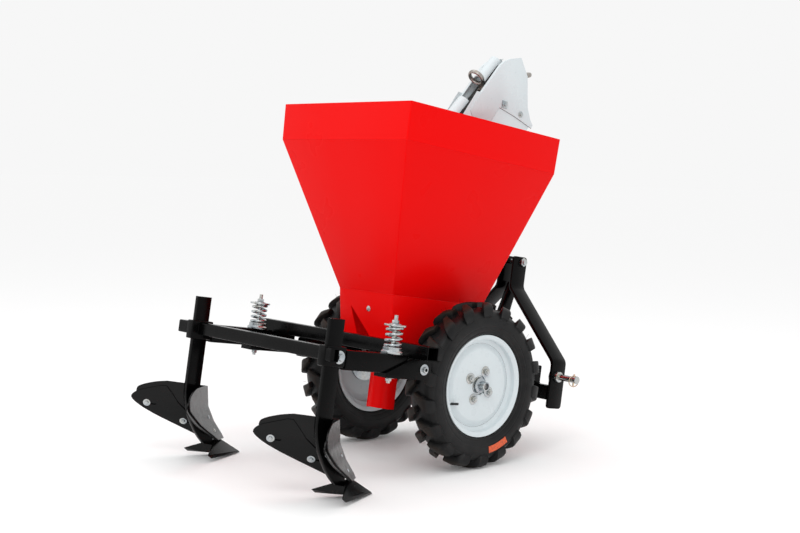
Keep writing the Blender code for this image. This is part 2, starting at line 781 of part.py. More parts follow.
for side, tag in ((1, "left"), (-1, "right")):
    yc = side * TRACK_HALF
    centre = (0, yc, WHEEL_R)
    bm = bmesh.new()
    lathe(bm, [(r, side * o) for r, o in RIM], centre, 32)
    rim = add("wheel_rim_" + tag, bm, "white_paint", centre)
    for k in range(4):
        a = math.radians(24 + 90 * k)
        cut_with(
            rim,
            "hole%d" % k,
            lambda b, a=a, y=yc: rod(
                b,
                (0.05 * math.sin(a), y - 0.06, WHEEL_R + 0.05 * math.cos(a)),
                (0.05 * math.sin(a), y + 0.06, WHEEL_R + 0.05 * math.cos(a)),
                0.0066,
                8,
            ),
        )
    bm = bmesh.new()
    lathe(bm, TYRE, centre, 32)
    tyre = add("tyre_" + tag, bm, "tyre", centre)
    step = 2 * math.pi / LUGS

    def lugs(b, hand, y=yc):
        for k in range(LUGS):
            lug(b, y, step * (k + (0.5 if hand > 0 else 0.0)), hand)

    union_with(tyre, "lugs_a", lambda b: lugs(b, 1))
    union_with(tyre, "lugs_b", lambda b: lugs(b, -1))

    # Hub: flange behind the disc, sleeve on the axle, four studs with nuts, a set bolt.
    bm = bmesh.new()
    y = yc
    lathe(
        bm,
        [
            (0.0112, side * -0.0440), (0.0210, side * -0.0440), (0.0210, side * 0.0100),
            (0.0640, side * 0.0100), (0.0640, side * 0.0184), (0.0250, side * 0.0184),
            (0.0250, side * 0.0300), (0.0150, side * 0.0330), (0.0150, side * 0.0557),
            (0.0112, side * 0.0557),
        ],
        centre,
        18,
    )
    hub = add("wheel_hub_" + tag, bm, "zinc", centre)
    for k in range(4):
        a = math.radians(24 + 90 * k)
        px, pz = 0.05 * math.sin(a), WHEEL_R + 0.05 * math.cos(a)

        union_with(
            hub,
            "stud%d" % k,
            lambda b, px=px, pz=pz, y=yc, s=side: rod(
                b, (px, y + s * 0.0120, pz), (px, y + s * 0.0380, pz), 0.0060, 6
            ),
        )
        union_with(
            hub,
            "nut%d" % k,
            lambda b, px=px, pz=pz, y=yc, s=side: rod(
                b, (px, y + s * 0.0230, pz), (px, y + s * 0.0335, pz), 0.0108, 6
            ),
        )
    union_with(
        hub,
        "set",
        lambda b, y=yc, s=side: rod(
            b,
            (0.004, y + s * 0.0450, WHEEL_R - 0.013),
            (0.008, y + s * 0.0450, WHEEL_R - 0.026),
            0.0062,
            6,
        ),
    )

# ---------------------------------------------------------------- drive chain
bm = bmesh.new()
cy = CHAIN_Y
pr = CHAIN_PITCH / (2 * math.sin(math.pi / T_LOW))
chain_in = hull_path([(0.0, WHEEL_R, pr), P_LOW[:2] + (pr,)], 0.0016)
chain_out = hull_path([(0.0, WHEEL_R, pr), P_LOW[:2] + (pr,)], 0.0085)
rows = []
for y in (cy - 0.007, cy + 0.007):
    rows.append([bm.verts.new((x, y, z)) for x, z in chain_out])
    rows.append([bm.verts.new((x, y, z)) for x, z in chain_in])
n = len(chain_out)
for i in range(n):
    j = (i + 1) % n
    o0, i0, o1, i1 = rows
    bm.faces.new((o0[i], o0[j], o1[j], o1[i]))
    bm.faces.new((i0[i], i1[i], i1[j], i0[j]))
    bm.faces.new((o0[i], i0[i], i0[j], o0[j]))
    bm.faces.new((o1[i], o1[j], i1[j], i1[i]))
add("drive_chain", bm, "steel")

# ---------------------------------------------------------------- floating ridger frame
ARM_REAR = -0.6397
STUB_END = {1: 0.4120, -1: -0.3830}
for side, tag in ((1, "left"), (-1, "right")):
    yc = side * ARM_Y
    bm = bmesh.new()
    box(bm, ARM_REAR, -0.396, yc - ARM_HALF, yc + ARM_HALF, 0.2970, 0.3550)
    soften(bm, 0.003)
    arm = add("float_arm_" + tag, bm, "black_paint", (PIVOT_X, yc, PIVOT_Z))
    union_with(
        arm,
        "tongue",
        lambda b, y=yc: prism(
            b,
            [
                (-0.410, 0.2970), (-0.336, 0.2970), (-0.326, 0.2987), (-0.317, 0.3040),
                (-0.3150, 0.3160), (-0.318, 0.3280), (-0.328, 0.3360), (-0.410, 0.3360),
            ],
            y - ARM_HALF + 0.0005,
            y + ARM_HALF - 0.0005,
        ),
    )
    union_with(
        arm,
        "seat",
        lambda b, y=yc: lathe(
            b,
            [(0.0182, -0.006), (0.0340, -0.006), (0.0340, 0.0080), (0.0290, 0.0100),
             (0.0290, 0.0200), (0.0182, 0.0200)],
            (SPRING_X, y, 0.3550),
            20,
            axis=(0, 0, 1),
        ),
    )
    cut_with(
        arm,
        "slot",
        lambda b, y=yc: box(b, -0.4690, -0.4345, y - 0.0075, y + 0.0075, 0.25, 0.3640),
    )
    cut_with(
        arm,
        "bore",
        lambda b, y=yc: rod(
            b,
            (PIVOT_X, y - 0.05, PIVOT_Z),
            (PIVOT_X, y + 0.05, PIVOT_Z),
            (PIVOT_R + 0.00005) * tube_length(24),
            24,
        ),
    )
    # Socket that clamps the shank, with its pinch bolt.
    bm = bmesh.new()
    box(bm, -0.7200, -0.6400, yc - 0.0165, yc + 0.0165, 0.3040, 0.3640)
    soften(bm, 0.003)
    socket = add("shank_socket_" + tag, bm, "black_paint")
    cut_with(
        socket,
        "slot",
        lambda b, y=yc: box(
            b,
            SHANK_X0 - GAP,
            SHANK_X1 + GAP,
            y - SHANK_T / 2 - GAP,
            y + SHANK_T / 2 + GAP,
            0.25,
            0.42,
        ),
    )
    union_with(
        socket,
        "bolt",
        lambda b, s=side, y=yc: rod(
            b, (-0.665, y + s * 0.0125, 0.333), (-0.665, y + s * 0.0290, 0.333), 0.0160, 6
        ),
    )
    union_with(
        socket,
        "stub",
        lambda b, s=side, y=yc: box(
            b, -0.7180, -0.6860, *sorted((y + s * 0.0150, STUB_END[s])), 0.3190, 0.3590
        ),
    )

square_tube("rear_toolbar", -0.6950, -0.6550, -(ARM_Y - 0.0168), ARM_Y - 0.0168, 0.3190, 0.3590)

# ---------------------------------------------------------------- ridging bodies
SPREAD = math.radians(42)
NOSE = [(-0.645, 0.165), (-0.630, 0.085), (-0.600, 0.036), (-0.562, -0.006), (-0.552, -0.020)]


def nose_x(z):
    for (x0, z0), (x1, z1) in zip(NOSE, NOSE[1:]):
        if z <= z0 and z >= z1:
            t = (z - z0) / (z1 - z0)
            return x0 + (x1 - x0) * t
    return NOSE[0][0] if z > NOSE[0][1] else NOSE[-1][0]


def wing_point(hand, yc, s, z, off):
    """A point s back along one mouldboard at height z, off metres outside its rear face."""
    x = nose_x(z) - s * math.cos(SPREAD) + off * math.sin(SPREAD)
    y = yc + hand * (s * math.sin(SPREAD) + off * math.cos(SPREAD))
    return Vector((x, y, z))


# Rows of one mouldboard half: height, then how far back it starts and ends.
BOARD = [
    (0.1515, 0.007, 0.118), (0.1440, 0.007, 0.157), (0.1300, 0.006, 0.200),
    (0.1150, 0.005, 0.220), (0.0850, 0.004, 0.214), (0.0360, 0.003, 0.150),
    (-0.0060, 0.002, 0.080), (-0.0200, 0.002, 0.056),
]
WING = [
    (0.1340, 0.119, 0.136), (0.1200, 0.108, 0.180), (0.1050, 0.097, 0.222),
    (0.0850, 0.084, 0.239), (0.0600, 0.066, 0.220), (0.0360, 0.050, 0.180),
    (-0.0060, 0.022, 0.098), (-0.0200, 0.017, 0.068),
]
BOARD_T = 0.004
BOARD_OFF = 0.0120
WING_OFF0, WING_OFF1 = 0.0075, 0.0116
WING_BOLTS = ((0.192, 0.072), (0.092, 0.024))
WING_TRAVEL = 0.025


def plate_rows(b, hand, yc, levels, off0, off1, cols):
    """A curved plate between two offsets from the mouldboard surface, as stacked rows."""
    grid = {}
    for row, (z, s0, s1) in enumerate(levels):
        for col in range(cols + 1):
            s = s0 + (s1 - s0) * col / cols
            for layer, off in ((0, off0), (1, off1)):
                grid[row, col, layer] = b.verts.new(wing_point(hand, yc, s, z, off))
    last = len(levels) - 1
    for row in range(last):
        for col in range(cols):
            for layer in (0, 1):
                b.faces.new([grid[row + r, col + c, layer] for r, c in ((0, 0), (0, 1), (1, 1), (1, 0))])
        for col in (0, cols):
            b.faces.new([grid[row + r, col, k] for r, k in ((0, 0), (0, 1), (1, 1), (1, 0))])
    for row in (0, last):
        for col in range(cols):
            b.faces.new([grid[row, col + c, k] for c, k in ((0, 0), (1, 0), (1, 1), (0, 1))])


def bolt_axes(hand, yc, s, z):
    """Middle of the wing plate at a bolt, with its slide, cross and normal directions."""
    slope = (nose_x(z + 0.002) - nose_x(z - 0.002)) / 0.004
    back = Vector((-math.cos(SPREAD), hand * math.sin(SPREAD), 0.0))
    normal = back.cross(Vector((slope, 0.0, 1.0))).normalized()
    if normal.x < 0:
        normal = -normal
    middle = wing_point(hand, yc, s, z, (WING_OFF0 + WING_OFF1) / 2)
    return middle, back, normal.cross(back), normal


def slot_cutter(b, hand, yc, s, z):
    """A round-ended slot running forward from a wing bolt, cut through the plate."""
    middle, back, cross, normal = bolt_axes(hand, yc, s, z)
    rad = 0.0056
    loop = []
    for k in range(10):
        a = -math.pi / 2 + math.pi * (k % 5) / 4 + (math.pi if k > 4 else 0.0)
        run = 0.0008 if k < 5 else -WING_TRAVEL - 0.0012
        loop.append(back * (run + rad * math.cos(a)) + cross * (rad * math.sin(a)))
    low, high = [[b.verts.new(middle + p + normal * d) for p in loop] for d in (-0.012, 0.012)]
    for k in range(len(loop)):
        j = (k + 1) % len(loop)
        b.faces.new((low[k], low[j], high[j], high[k]))
    b.faces.new(low[::-1])
    b.faces.new(high)


for side, tag in ((1, "left"), (-1, "right")):
    yc = side * ARM_Y
    bm = bmesh.new()
    prism(
        bm,
        [
            (SHANK_X0, 0.4430), (SHANK_X0, 0.1300), (-0.7020, 0.1050), (-0.6850, 0.0550),
            (-0.6500, 0.0000), (-0.6100, -0.0400), (-0.5750, -0.0440),
            (-0.5780, -0.0080), (-0.6130, 0.0300), (-0.6420, 0.0780), (SHANK_X1, 0.1300),
            (SHANK_X1, 0.4430),
        ],
        yc - SHANK_T / 2,
        yc + SHANK_T / 2,
    )
    shank = add("ridger_shank_" + tag, bm, "black_paint", (-0.680, yc, 0.333))

    def frog(b, yc=yc):
        """V-shaped strap and web that carry the two board halves."""
        levels = []
        for z in (0.1250, 0.0850, 0.0600, 0.0450):
            nose = nose_x(z)
            half = [(nose - 0.0300, 0.0060), (nose - 0.0040, 0.0060)]
            for s, off in ((0.045, 0.0040), (0.045, 0.0115)):
                p = wing_point(1, 0.0, s, z, off)
                half.append((p.x, p.y))
            ring = half + [(nose + 0.0115 / math.sin(SPREAD), 0.0)] + [(x, -y) for x, y in half[::-1]]
            levels.append([b.verts.new((x, yc + y, z)) for x, y in ring])
        for up, down in zip(levels, levels[1:]):
            for k in range(len(up)):
                j = (k + 1) % len(up)
                b.faces.new((up[k], up[j], down[j], down[k]))
        b.faces.new(levels[0][::-1])
        b.faces.new(levels[-1])

    union_with(shank, "frog", frog)

    # V mouldboard: two curved sheets meeting at the nose, with the bolts that hold the wings.
    bm = bmesh.new()
    grid = {}
    for hand in (1, -1):
        for row, (z, s0, s1) in enumerate(BOARD):
            for col in range(5):
                s = s1 * col / 4
                for layer, off in ((0, BOARD_OFF), (1, BOARD_OFF + BOARD_T)):
                    p = wing_point(hand, yc, s, z, off)
                    if col == 0:
                        p.y = yc
                        p.x = nose_x(z) + off / math.sin(SPREAD)
                        if hand == -1:
                            grid[hand, row, col, layer] = grid[1, row, col, layer]
                            continue
                    grid[hand, row, col, layer] = bm.verts.new(p)
    last = len(BOARD) - 1
    for hand in (1, -1):
        for row in range(last):
            for col in range(4):
                for layer in (0, 1):
                    bm.faces.new(
                        [
                            grid[hand, row + r, col + c, layer]
                            for r, c in ((0, 0), (0, 1), (1, 1), (1, 0))
                        ]
                    )
            bm.faces.new([grid[hand, row + r, 4, k] for r, k in ((0, 0), (0, 1), (1, 1), (1, 0))])
        for row in (0, last):
            for col in range(4):
                bm.faces.new(
                    [grid[hand, row, col + c, k] for c, k in ((0, 0), (1, 0), (1, 1), (0, 1))]
                )
    board = add("mouldboard_" + tag, bm, "black_paint")

    def wing_bolts(b, radius, d0, d1, sides, yc=yc):
        for hand in (1, -1):
            for s, z in WING_BOLTS:
                middle, _, _, normal = bolt_axes(hand, yc, s, z)
                rod(b, middle + normal * d0, middle + normal * d1, radius, sides)

    union_with(board, "bolts", lambda b: wing_bolts(b, 0.0045, 0.0038, -0.0110, 8))
    union_with(board, "heads", lambda b: wing_bolts(b, 0.0095, -0.0028, -0.0088, 6))

    for hand, place in ((side, "outer"), (-side, "inner")):
        bm = bmesh.new()
        plate_rows(bm, hand, yc, WING, WING_OFF0, WING_OFF1, 3)
        wing = add("wing_" + tag + "_" + place, bm, "steel")
        for k, (s, z) in enumerate(WING_BOLTS):
            cut_with(
                wing, "slot%d" % k, lambda b, h=hand, y=yc, s=s, z=z: slot_cutter(b, h, y, s, z)
            )

lean = math.radians(LEAN_DEG)


def floor_z(x):
    """Height of the ground line in machine axes at x."""
    return WHEEL_R * (1 - 1 / math.cos(lean)) + x * math.tan(lean)


for side, tag in ((1, "left"), (-1, "right")):
    yc = side * ARM_Y
    # Share: an arrow-shaped point under the nose.
    tip_x = -0.455
    bm = bmesh.new()
    tip = bm.verts.new((tip_x, yc, floor_z(tip_x) + 0.0002))
    tip_up = bm.verts.new((tip_x - 0.004, yc, floor_z(tip_x) + 0.0060))
    top = bm.verts.new((-0.5480, yc, -0.0200))
    mid = bm.verts.new((-0.5560, yc, floor_z(-0.556) + 0.0120))
    low = floor_z(-0.618) + 0.0150
    wl = bm.verts.new((-0.6180, yc + 0.0720, low))
    wl2 = bm.verts.new((-0.6340, yc + 0.0720, low + 0.010))
    wr = bm.verts.new((-0.6180, yc - 0.0720, low))
    wr2 = bm.verts.new((-0.6340, yc - 0.0720, low + 0.010))
    back = bm.verts.new((-0.5640, yc, -0.0240))
    for tri in (
        (tip, mid, wl), (tip, wr, mid), (tip, wl, tip_up), (tip, tip_up, wr),
        (tip_up, wl, wl2), (tip_up, wl2, top), (tip_up, wr2, wr), (tip_up, top, wr2),
        (wl, mid, wl2), (mid, back, wl2), (wr, wr2, mid), (mid, wr2, back),
        (top, wl2, back), (top, back, wr2),
    ):
        bm.faces.new(tri)
    add("share_" + tag, bm, "black_paint")

bpy.context.view_layer.update()
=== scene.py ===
"""A single-row potato planter: painted sheet and tube steel, two traction wheels, a cup
elevator and a sprung rear frame with two ridging bodies. Metres, +X travel, +Y left, +Z up."""

import math
import random

import bmesh
import bpy
from mathutils import Matrix, Vector


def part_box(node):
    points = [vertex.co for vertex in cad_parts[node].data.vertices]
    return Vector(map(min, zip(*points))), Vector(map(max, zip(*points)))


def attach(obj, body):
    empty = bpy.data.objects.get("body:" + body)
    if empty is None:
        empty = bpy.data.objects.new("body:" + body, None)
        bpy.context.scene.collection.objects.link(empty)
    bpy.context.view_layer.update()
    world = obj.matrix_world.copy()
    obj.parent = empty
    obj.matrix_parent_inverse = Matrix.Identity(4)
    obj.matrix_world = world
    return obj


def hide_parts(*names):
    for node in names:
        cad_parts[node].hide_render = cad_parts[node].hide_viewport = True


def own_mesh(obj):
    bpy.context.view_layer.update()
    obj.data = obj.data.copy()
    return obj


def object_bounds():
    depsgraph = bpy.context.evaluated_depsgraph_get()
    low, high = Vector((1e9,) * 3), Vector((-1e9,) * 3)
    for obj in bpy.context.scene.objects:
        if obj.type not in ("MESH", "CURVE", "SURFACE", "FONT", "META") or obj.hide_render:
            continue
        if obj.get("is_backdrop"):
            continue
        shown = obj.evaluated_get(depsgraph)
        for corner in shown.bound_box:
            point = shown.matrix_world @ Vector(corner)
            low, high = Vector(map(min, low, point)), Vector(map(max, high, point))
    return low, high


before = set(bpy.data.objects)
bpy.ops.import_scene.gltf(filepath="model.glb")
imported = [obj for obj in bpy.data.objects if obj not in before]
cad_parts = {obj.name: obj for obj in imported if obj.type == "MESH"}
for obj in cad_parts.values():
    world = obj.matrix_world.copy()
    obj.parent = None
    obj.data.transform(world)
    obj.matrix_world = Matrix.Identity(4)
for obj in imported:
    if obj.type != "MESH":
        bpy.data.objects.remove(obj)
cad_low, cad_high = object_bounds()

# Lie of the machine: resting on wheels and shares it leans forward about its axle.
# Pieces are made upright, with x = 0 on the axle and z = 0 under the wheels, and then leaned.
tyre_low, tyre_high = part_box("tyre_left")
WHEEL_R = (tyre_high.z - tyre_low.z) / 2
AXLE_X = (tyre_low.x + tyre_high.x) / 2
TRACK_HALF = (tyre_low.y + tyre_high.y) / 2
LEAN = math.radians(8.25)
LEANED = (
    Matrix.Translation((AXLE_X, 0, WHEEL_R))
    @ Matrix.Rotation(LEAN, 4, "Y")
    @ Matrix.Translation((0, 0, -WHEEL_R))
)
SIDES = ((1, "left"), (-1, "right"))
LEFT, UP = Vector((0, 1, 0)), Vector((0, 0, 1))


class Wire:
    """One socket of a finish's nodes, so that its sums read as arithmetic."""

    def __init__(self, finish, socket):
        self.finish = finish
        self.socket = socket

    def math(self, operation, a, b=0.0):
        return self.finish.node("ShaderNodeMath", {"operation": operation}, {0: a, 1: b})

    def __add__(self, other):
        return self.math("ADD", self, other)

    def __sub__(self, other):
        return self.math("SUBTRACT", self, other)

    def __rsub__(self, other):
        return self.math("SUBTRACT", other, self)

    def __mul__(self, other):
        return self.math("MULTIPLY", self, other)

    def __gt__(self, other):
        return self.math("GREATER_THAN", self, other)

    __radd__ = __add__
    __rmul__ = __mul__


class Finish:
    """A material with a Principled shader, and the one way in which nodes join it."""

    def __init__(self, name):
        self.material = bpy.data.materials.new(name)
        self.material.use_nodes = True
        self.tree = self.material.node_tree
        self.shader = self.tree.nodes["Principled BSDF"]
        self.place = self.node("ShaderNodeTexCoord", {}, {}, "Object")

    def node(self, kind, settings, sockets, out=0):
        made = self.tree.nodes.new(kind)
        for key, value in settings.items():
            if key == "stops":
                while len(made.color_ramp.elements) < len(value):
                    made.color_ramp.elements.new(0.5)
                for stop, (at, colour) in zip(made.color_ramp.elements, value):
                    stop.position = at
                    stop.color = (*colour, 1.0)
            else:
                setattr(made, key, value)
        for key, value in sockets.items():
            if isinstance(value, Wire):
                self.tree.links.new(value.socket, made.inputs[key])
            else:
                made.inputs[key].default_value = value
        return Wire(self, made.outputs[out])

    def noise(self, scale, detail=3.0, place=None, out="Fac"):
        sockets = {"Vector": place or self.place, "Scale": scale, "Detail": detail}
        return self.node("ShaderNodeTexNoise", {}, sockets, out)

    def ramp(self, value, *stops):
        grey = [(at, (level,) * 3 if isinstance(level, float) else level) for at, level in stops]
        return self.node("ShaderNodeValToRGB", {"stops": grey}, {"Fac": value})

    def mix(self, share, a, b):
        settings = {"data_type": "RGBA"}
        return self.node("ShaderNodeMix", settings, {0: share, 6: a, 7: b}, 2)

    def axis(self, k):
        return self.node("ShaderNodeSeparateXYZ", {}, {"Vector": self.place}, k)

    def set(self, **sockets):
        for key, value in sockets.items():
            socket = self.shader.inputs[key.replace("_", " ")]
            if isinstance(value, Wire):
                self.tree.links.new(value.socket, socket)
            else:
                socket.default_value = value
        return self

    def bump(self, height, strength, distance=0.001):
        sockets = {"Height": height, "Strength": strength, "Distance": distance}
        return self.set(Normal=self.node("ShaderNodeBump", {}, sockets, "Normal"))


def rgb(r, g, b):
    return (r, g, b, 1.0)


def seat(name, bm, finish, body, slot, *nodes, crease=32):
    """Leans a finished bmesh into place as one piece that rides on its body."""
    bmesh.ops.remove_doubles(bm, verts=bm.verts, dist=1e-6)
    bmesh.ops.recalc_face_normals(bm, faces=bm.faces)
    bmesh.ops.transform(bm, matrix=LEANED, verts=bm.verts)
    mesh = bpy.data.meshes.new(name)
    bm.to_mesh(mesh)
    bm.free()
    mesh.polygons.foreach_set("use_smooth", [True] * len(mesh.polygons))
    mesh.set_sharp_from_angle(angle=math.radians(crease))
    mesh.materials.append(finish.material)
    piece = bpy.data.objects.new(name, mesh)
    bpy.context.scene.collection.objects.link(piece)
    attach(piece, body)
    if nodes:
        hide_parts(*nodes)
    return piece


def grow(bm, faces, way):
    """Extrudes faces by a vector, and returns the vertices of the far end."""
    grown = bmesh.ops.extrude_face_region(bm, geom=faces)["geom"]
    far = [v for v in grown if isinstance(v, bmesh.types.BMVert)]
    bmesh.ops.translate(bm, verts=far, vec=way)
    return far


def cut_across(bm, point, normal, **more):
    """Cuts all the faces along a plane."""
    everything = bm.verts[:] + bm.edges[:] + bm.faces[:]
    bmesh.ops.bisect_plane(bm, geom=everything, plane_co=point, plane_no=normal, **more)


def drop_faces(bm, unwanted):
    """Deletes the faces whose middle the test picks."""
    gone = [f for f in bm.faces if unwanted(f.calc_center_median())]
    bmesh.ops.delete(bm, geom=gone, context="FACES")


def edges_within(bm, verts):
    return [e for e in bm.edges if e.verts[0] in verts and e.verts[1] in verts]


def direction(edge):
    return (edge.verts[0].co - edge.verts[1].co).normalized()


def axes(a, b, c):
    """The turn that takes x, y and z to three directions."""
    return Matrix((a, b, c)).transposed().to_4x4()


# Main frame: square steel tubes, welded and sprayed gloss black over mill scale, so the
# flats carry a faint orange peel and a thin dust that thickens towards the ground.
def black_enamel():
    f = Finish("black_enamel")
    cloud = f.noise(14.0, 5.0)
    dust = f.ramp(cloud, (0.44, 0.0), (0.72, 1.0))
    low = f.ramp(f.axis(2), (0.02, 1.0), (0.30, 0.25))
    f.set(
        Base_Color=f.mix(dust * low * 0.16, rgb(0.0009, 0.0009, 0.0010), rgb(0.016, 0.015, 0.014)),
        Roughness=f.noise(40.0, 4.0) * 0.20 + dust * 0.14 + 0.10,
        Specular_IOR_Level=0.09,
    )
    return f.bump(f.noise(190.0, 2.0) * 0.6 + f.noise(28.0, 2.0) * 0.8, 0.22, 0.0012)


BLACK = black_enamel()


def cuboid(bm, x0, x1, y0, y1, z0, z1):
    made = bmesh.ops.create_cube(bm, size=1.0)["verts"]
    bmesh.ops.scale(bm, verts=made, vec=(x1 - x0, y1 - y0, z1 - z0))
    centre = Vector(((x0 + x1) / 2, (y0 + y1) / 2, (z0 + z1) / 2))
    bmesh.ops.translate(bm, verts=made, vec=centre)
    return made


def round_edges(bm, edges, radius, segments=3):
    bmesh.ops.bevel(
        bm, geom=edges, offset=radius, segments=segments, profile=0.5, affect="EDGES",
        material=-1, clamp_overlap=True,
    )


def square_tube(x0, x1, y0, y1, z0, z1, axis, wall=0.003, deep=0.05, open_ends=True):
    """A square tube with drawn corners; its open ends show the bore."""
    bm = bmesh.new()
    cuboid(bm, x0, x1, y0, y1, z0, z1)
    line = Vector((axis == 0, axis == 1, axis == 2))
    long_edges = [e for e in bm.edges if abs(direction(e).dot(line)) > 0.99]
    round_edges(bm, long_edges, 0.0045, 4)
    if open_ends:
        bm.faces.ensure_lookup_table()
        bm.normal_update()
        for end in [f for f in bm.faces if abs(f.normal.dot(line)) > 0.99]:
            out = end.normal.copy()
            bmesh.ops.inset_region(bm, faces=[end], thickness=wall)
            grow(bm, [end], -out * deep)
            bmesh.ops.delete(bm, geom=[end], context="FACES_ONLY")
    return bm


def join(bm, other):
    """Moves what another bmesh holds into this one."""
    mesh = bpy.data.meshes.new("joined")
    other.to_mesh(mesh)
    other.free()
    bm.from_mesh(mesh)
    bpy.data.meshes.remove(mesh)


def any_way(rng):
    return Vector((rng.uniform(-1, 1), rng.uniform(-1, 1), rng.uniform(-1, 1)))


def weld(bm, start, end, radius=0.0028, pitch=0.0042, seed=1):
    """A hand-laid bead: overlapping flattened drops along a line."""
    start, end = Vector(start), Vector(end)
    rng = random.Random(seed)
    count = max(2, int((end - start).length / pitch))
    for k in range(count + 1):
        drop = bmesh.ops.create_icosphere(bm, subdivisions=1, radius=radius)["verts"]
        jitter = any_way(rng) * radius * 0.15
        bmesh.ops.scale(bm, verts=drop, vec=Vector((1, 1, 1)) * rng.uniform(0.9, 1.12))
        bmesh.ops.translate(bm, verts=drop, vec=start.lerp(end, k / count) + jitter)


BEAM_HALF = 0.43
BEAM_X0, BEAM_X1, BEAM_Z0, BEAM_Z1 = -0.3825, -0.3375, 0.347, 0.390
RAIL_Y0, RAIL_Y1, RAIL_Z0, RAIL_Z1 = 0.160, 0.200, 0.2853, 0.3467
BAR_FRONT = 0.400
bm = square_tube(BEAM_X0, BEAM_X1, -BEAM_HALF, BEAM_HALF, BEAM_Z0, BEAM_Z1, 1)
seat("crossbeam_tube", bm, BLACK, "chassis", "black_paint", "rear_crossbeam")

for side, tag in SIDES:
    y0, y1 = sorted((side * RAIL_Y0, side * RAIL_Y1))
    bm = square_tube(BEAM_X0, BAR_FRONT, y0, y1, RAIL_Z0, RAIL_Z1, 0)
    for k, x in enumerate((BEAM_X0 + 0.004, BEAM_X1 - 0.001)):
        weld(bm, (x, y0 + 0.004, RAIL_Z1), (x, y1 - 0.004, RAIL_Z1), seed=k)
    for y in (y0 - 0.001, y1 + 0.001):
        weld(bm, (0.362, y, RAIL_Z0 + 0.001), (0.398, y, RAIL_Z0 + 0.001), seed=5)
    seat("side_rail_" + tag, bm, BLACK, "chassis", "black_paint", "frame_rail_" + tag)

bm = square_tube(0.360, BAR_FRONT, -0.2697, 0.2697, 0.235, 0.285, 1)
seat("front_bar", bm, BLACK, "chassis", "black_paint", "front_crossbar")
bm = square_tube(0.305, 0.345, -RAIL_Y0 + 0.0003, RAIL_Y0 - 0.0003, 0.3068, 0.3467, 1)
for y in (-RAIL_Y0 + 0.002, RAIL_Y0 - 0.002):
    weld(bm, (0.309, y, 0.3467), (0.341, y, 0.3467), seed=9)
seat("mast_bar", bm, BLACK, "chassis", "black_paint", "mast_crossbar")


# Axle bearings: cast flanges bolted to the rails, painted with the frame. Each is a plate cut
# to the shape of a shield with a turned boss round the axle and two hex bolts.
def plate_of(bm, outline, y0, y1, edge=0.001):
    """A flat plate in the XZ plane between two widths, with its edges eased."""
    near = [bm.verts.new((x, y0, z)) for x, z in outline]
    far = grow(bm, [bm.faces.new(near)], (0, y1 - y0, 0))
    if edge:
        rims = [
            e for e in edges_within(bm, set(near + far))
            if abs(e.verts[0].co.y - e.verts[1].co.y) < 1e-6
        ]
        round_edges(bm, rims, edge, 2)


def rod(bm, a, b, radius, segments=32, chamfer=0.0008, radius2=None):
    """A turned bar between two points, its ends chamfered."""
    a, b = Vector(a), Vector(b)
    made = bmesh.ops.create_cone(
        bm, cap_ends=True, segments=segments, radius1=radius,
        radius2=radius if radius2 is None else radius2, depth=(b - a).length,
    )["verts"]
    turn = Vector((0, 0, 1)).rotation_difference(b - a).to_matrix().to_4x4()
    bmesh.ops.transform(bm, matrix=Matrix.Translation((a + b) / 2) @ turn, verts=made)
    if chamfer:
        along = (b - a).normalized()
        rims = [
            e for e in edges_within(bm, set(made))
            if abs(direction(e).dot(along)) < 0.1 and any(len(f.verts) > 4 for f in e.link_faces)
        ]
        round_edges(bm, rims, chamfer, 2)


def hex_bolt(bm, foot, way, across, height, washer=True):
    """A hex head or nut on a washer, standing on a face; across is its size over the flats."""
    foot, way = Vector(foot), Vector(way).normalized()
    corner = across / 2 / math.cos(math.pi / 6)
    lift = 0.0
    if washer:
        rod(bm, foot, foot + way * 0.0016, across * 0.98, 28, 0.0004)
        lift = 0.0014
    rod(bm, foot + way * lift, foot + way * (lift + height), corner, 6, 0.0007)
    rod(bm, foot + way * lift, foot + way * (lift + height + 0.0006), across * 0.44, 24, 0.0003)


def turned(bm, profile, centre, axis=(0, 1, 0), steps=64, closed=True):
    """Spins (radius, offset) points about an axis through the centre."""
    axis = Vector(axis).normalized()
    out = axis.orthogonal().normalized()
    ring = [bm.verts.new(Vector(centre) + out * r + axis * o) for r, o in profile]
    edges = [bm.edges.new(pair) for pair in zip(ring, ring[1:])]
    if closed:
        edges.append(bm.edges.new((ring[-1], ring[0])))
    bmesh.ops.spin(
        bm, geom=ring + edges, cent=Vector(centre), axis=axis, angle=2 * math.pi,
        steps=steps, use_merge=True,
    )


def oval(radius, out, along, points):
    """The section of a ring, as (radius, offset) points for turned."""
    angles = [2 * math.pi * k / points for k in range(points)]
    return [(radius + out * math.cos(a), along * math.sin(a)) for a in angles]


SHIELD = [
    (-0.050, 0.335), (-0.050, 0.305), (-0.042, 0.270), (-0.026, 0.248), (-0.012, 0.240),
    (0.012, 0.240), (0.026, 0.248), (0.042, 0.270), (0.050, 0.305), (0.050, 0.335),
]
for side, tag in SIDES:
    bm = bmesh.new()
    face = side * (RAIL_Y1 + 0.0115)
    plate_of(bm, SHIELD, *sorted((side * (RAIL_Y1 + 0.0003), face)), edge=0.0015)
    boss = [(0.0116, -0.003), (0.024, -0.003), (0.024, 0.0085), (0.0225, 0.0097), (0.0116, 0.0097)]
    turned(bm, [(r, side * o) for r, o in boss], (0, face, WHEEL_R), steps=48)
    for x in (-0.034, 0.034):
        hex_bolt(bm, (x, face, 0.318), (0, side, 0), 0.013, 0.006)
    seat("bearing_shield_" + tag, bm, BLACK, "chassis", "black_paint", "axle_bearing_" + tag)


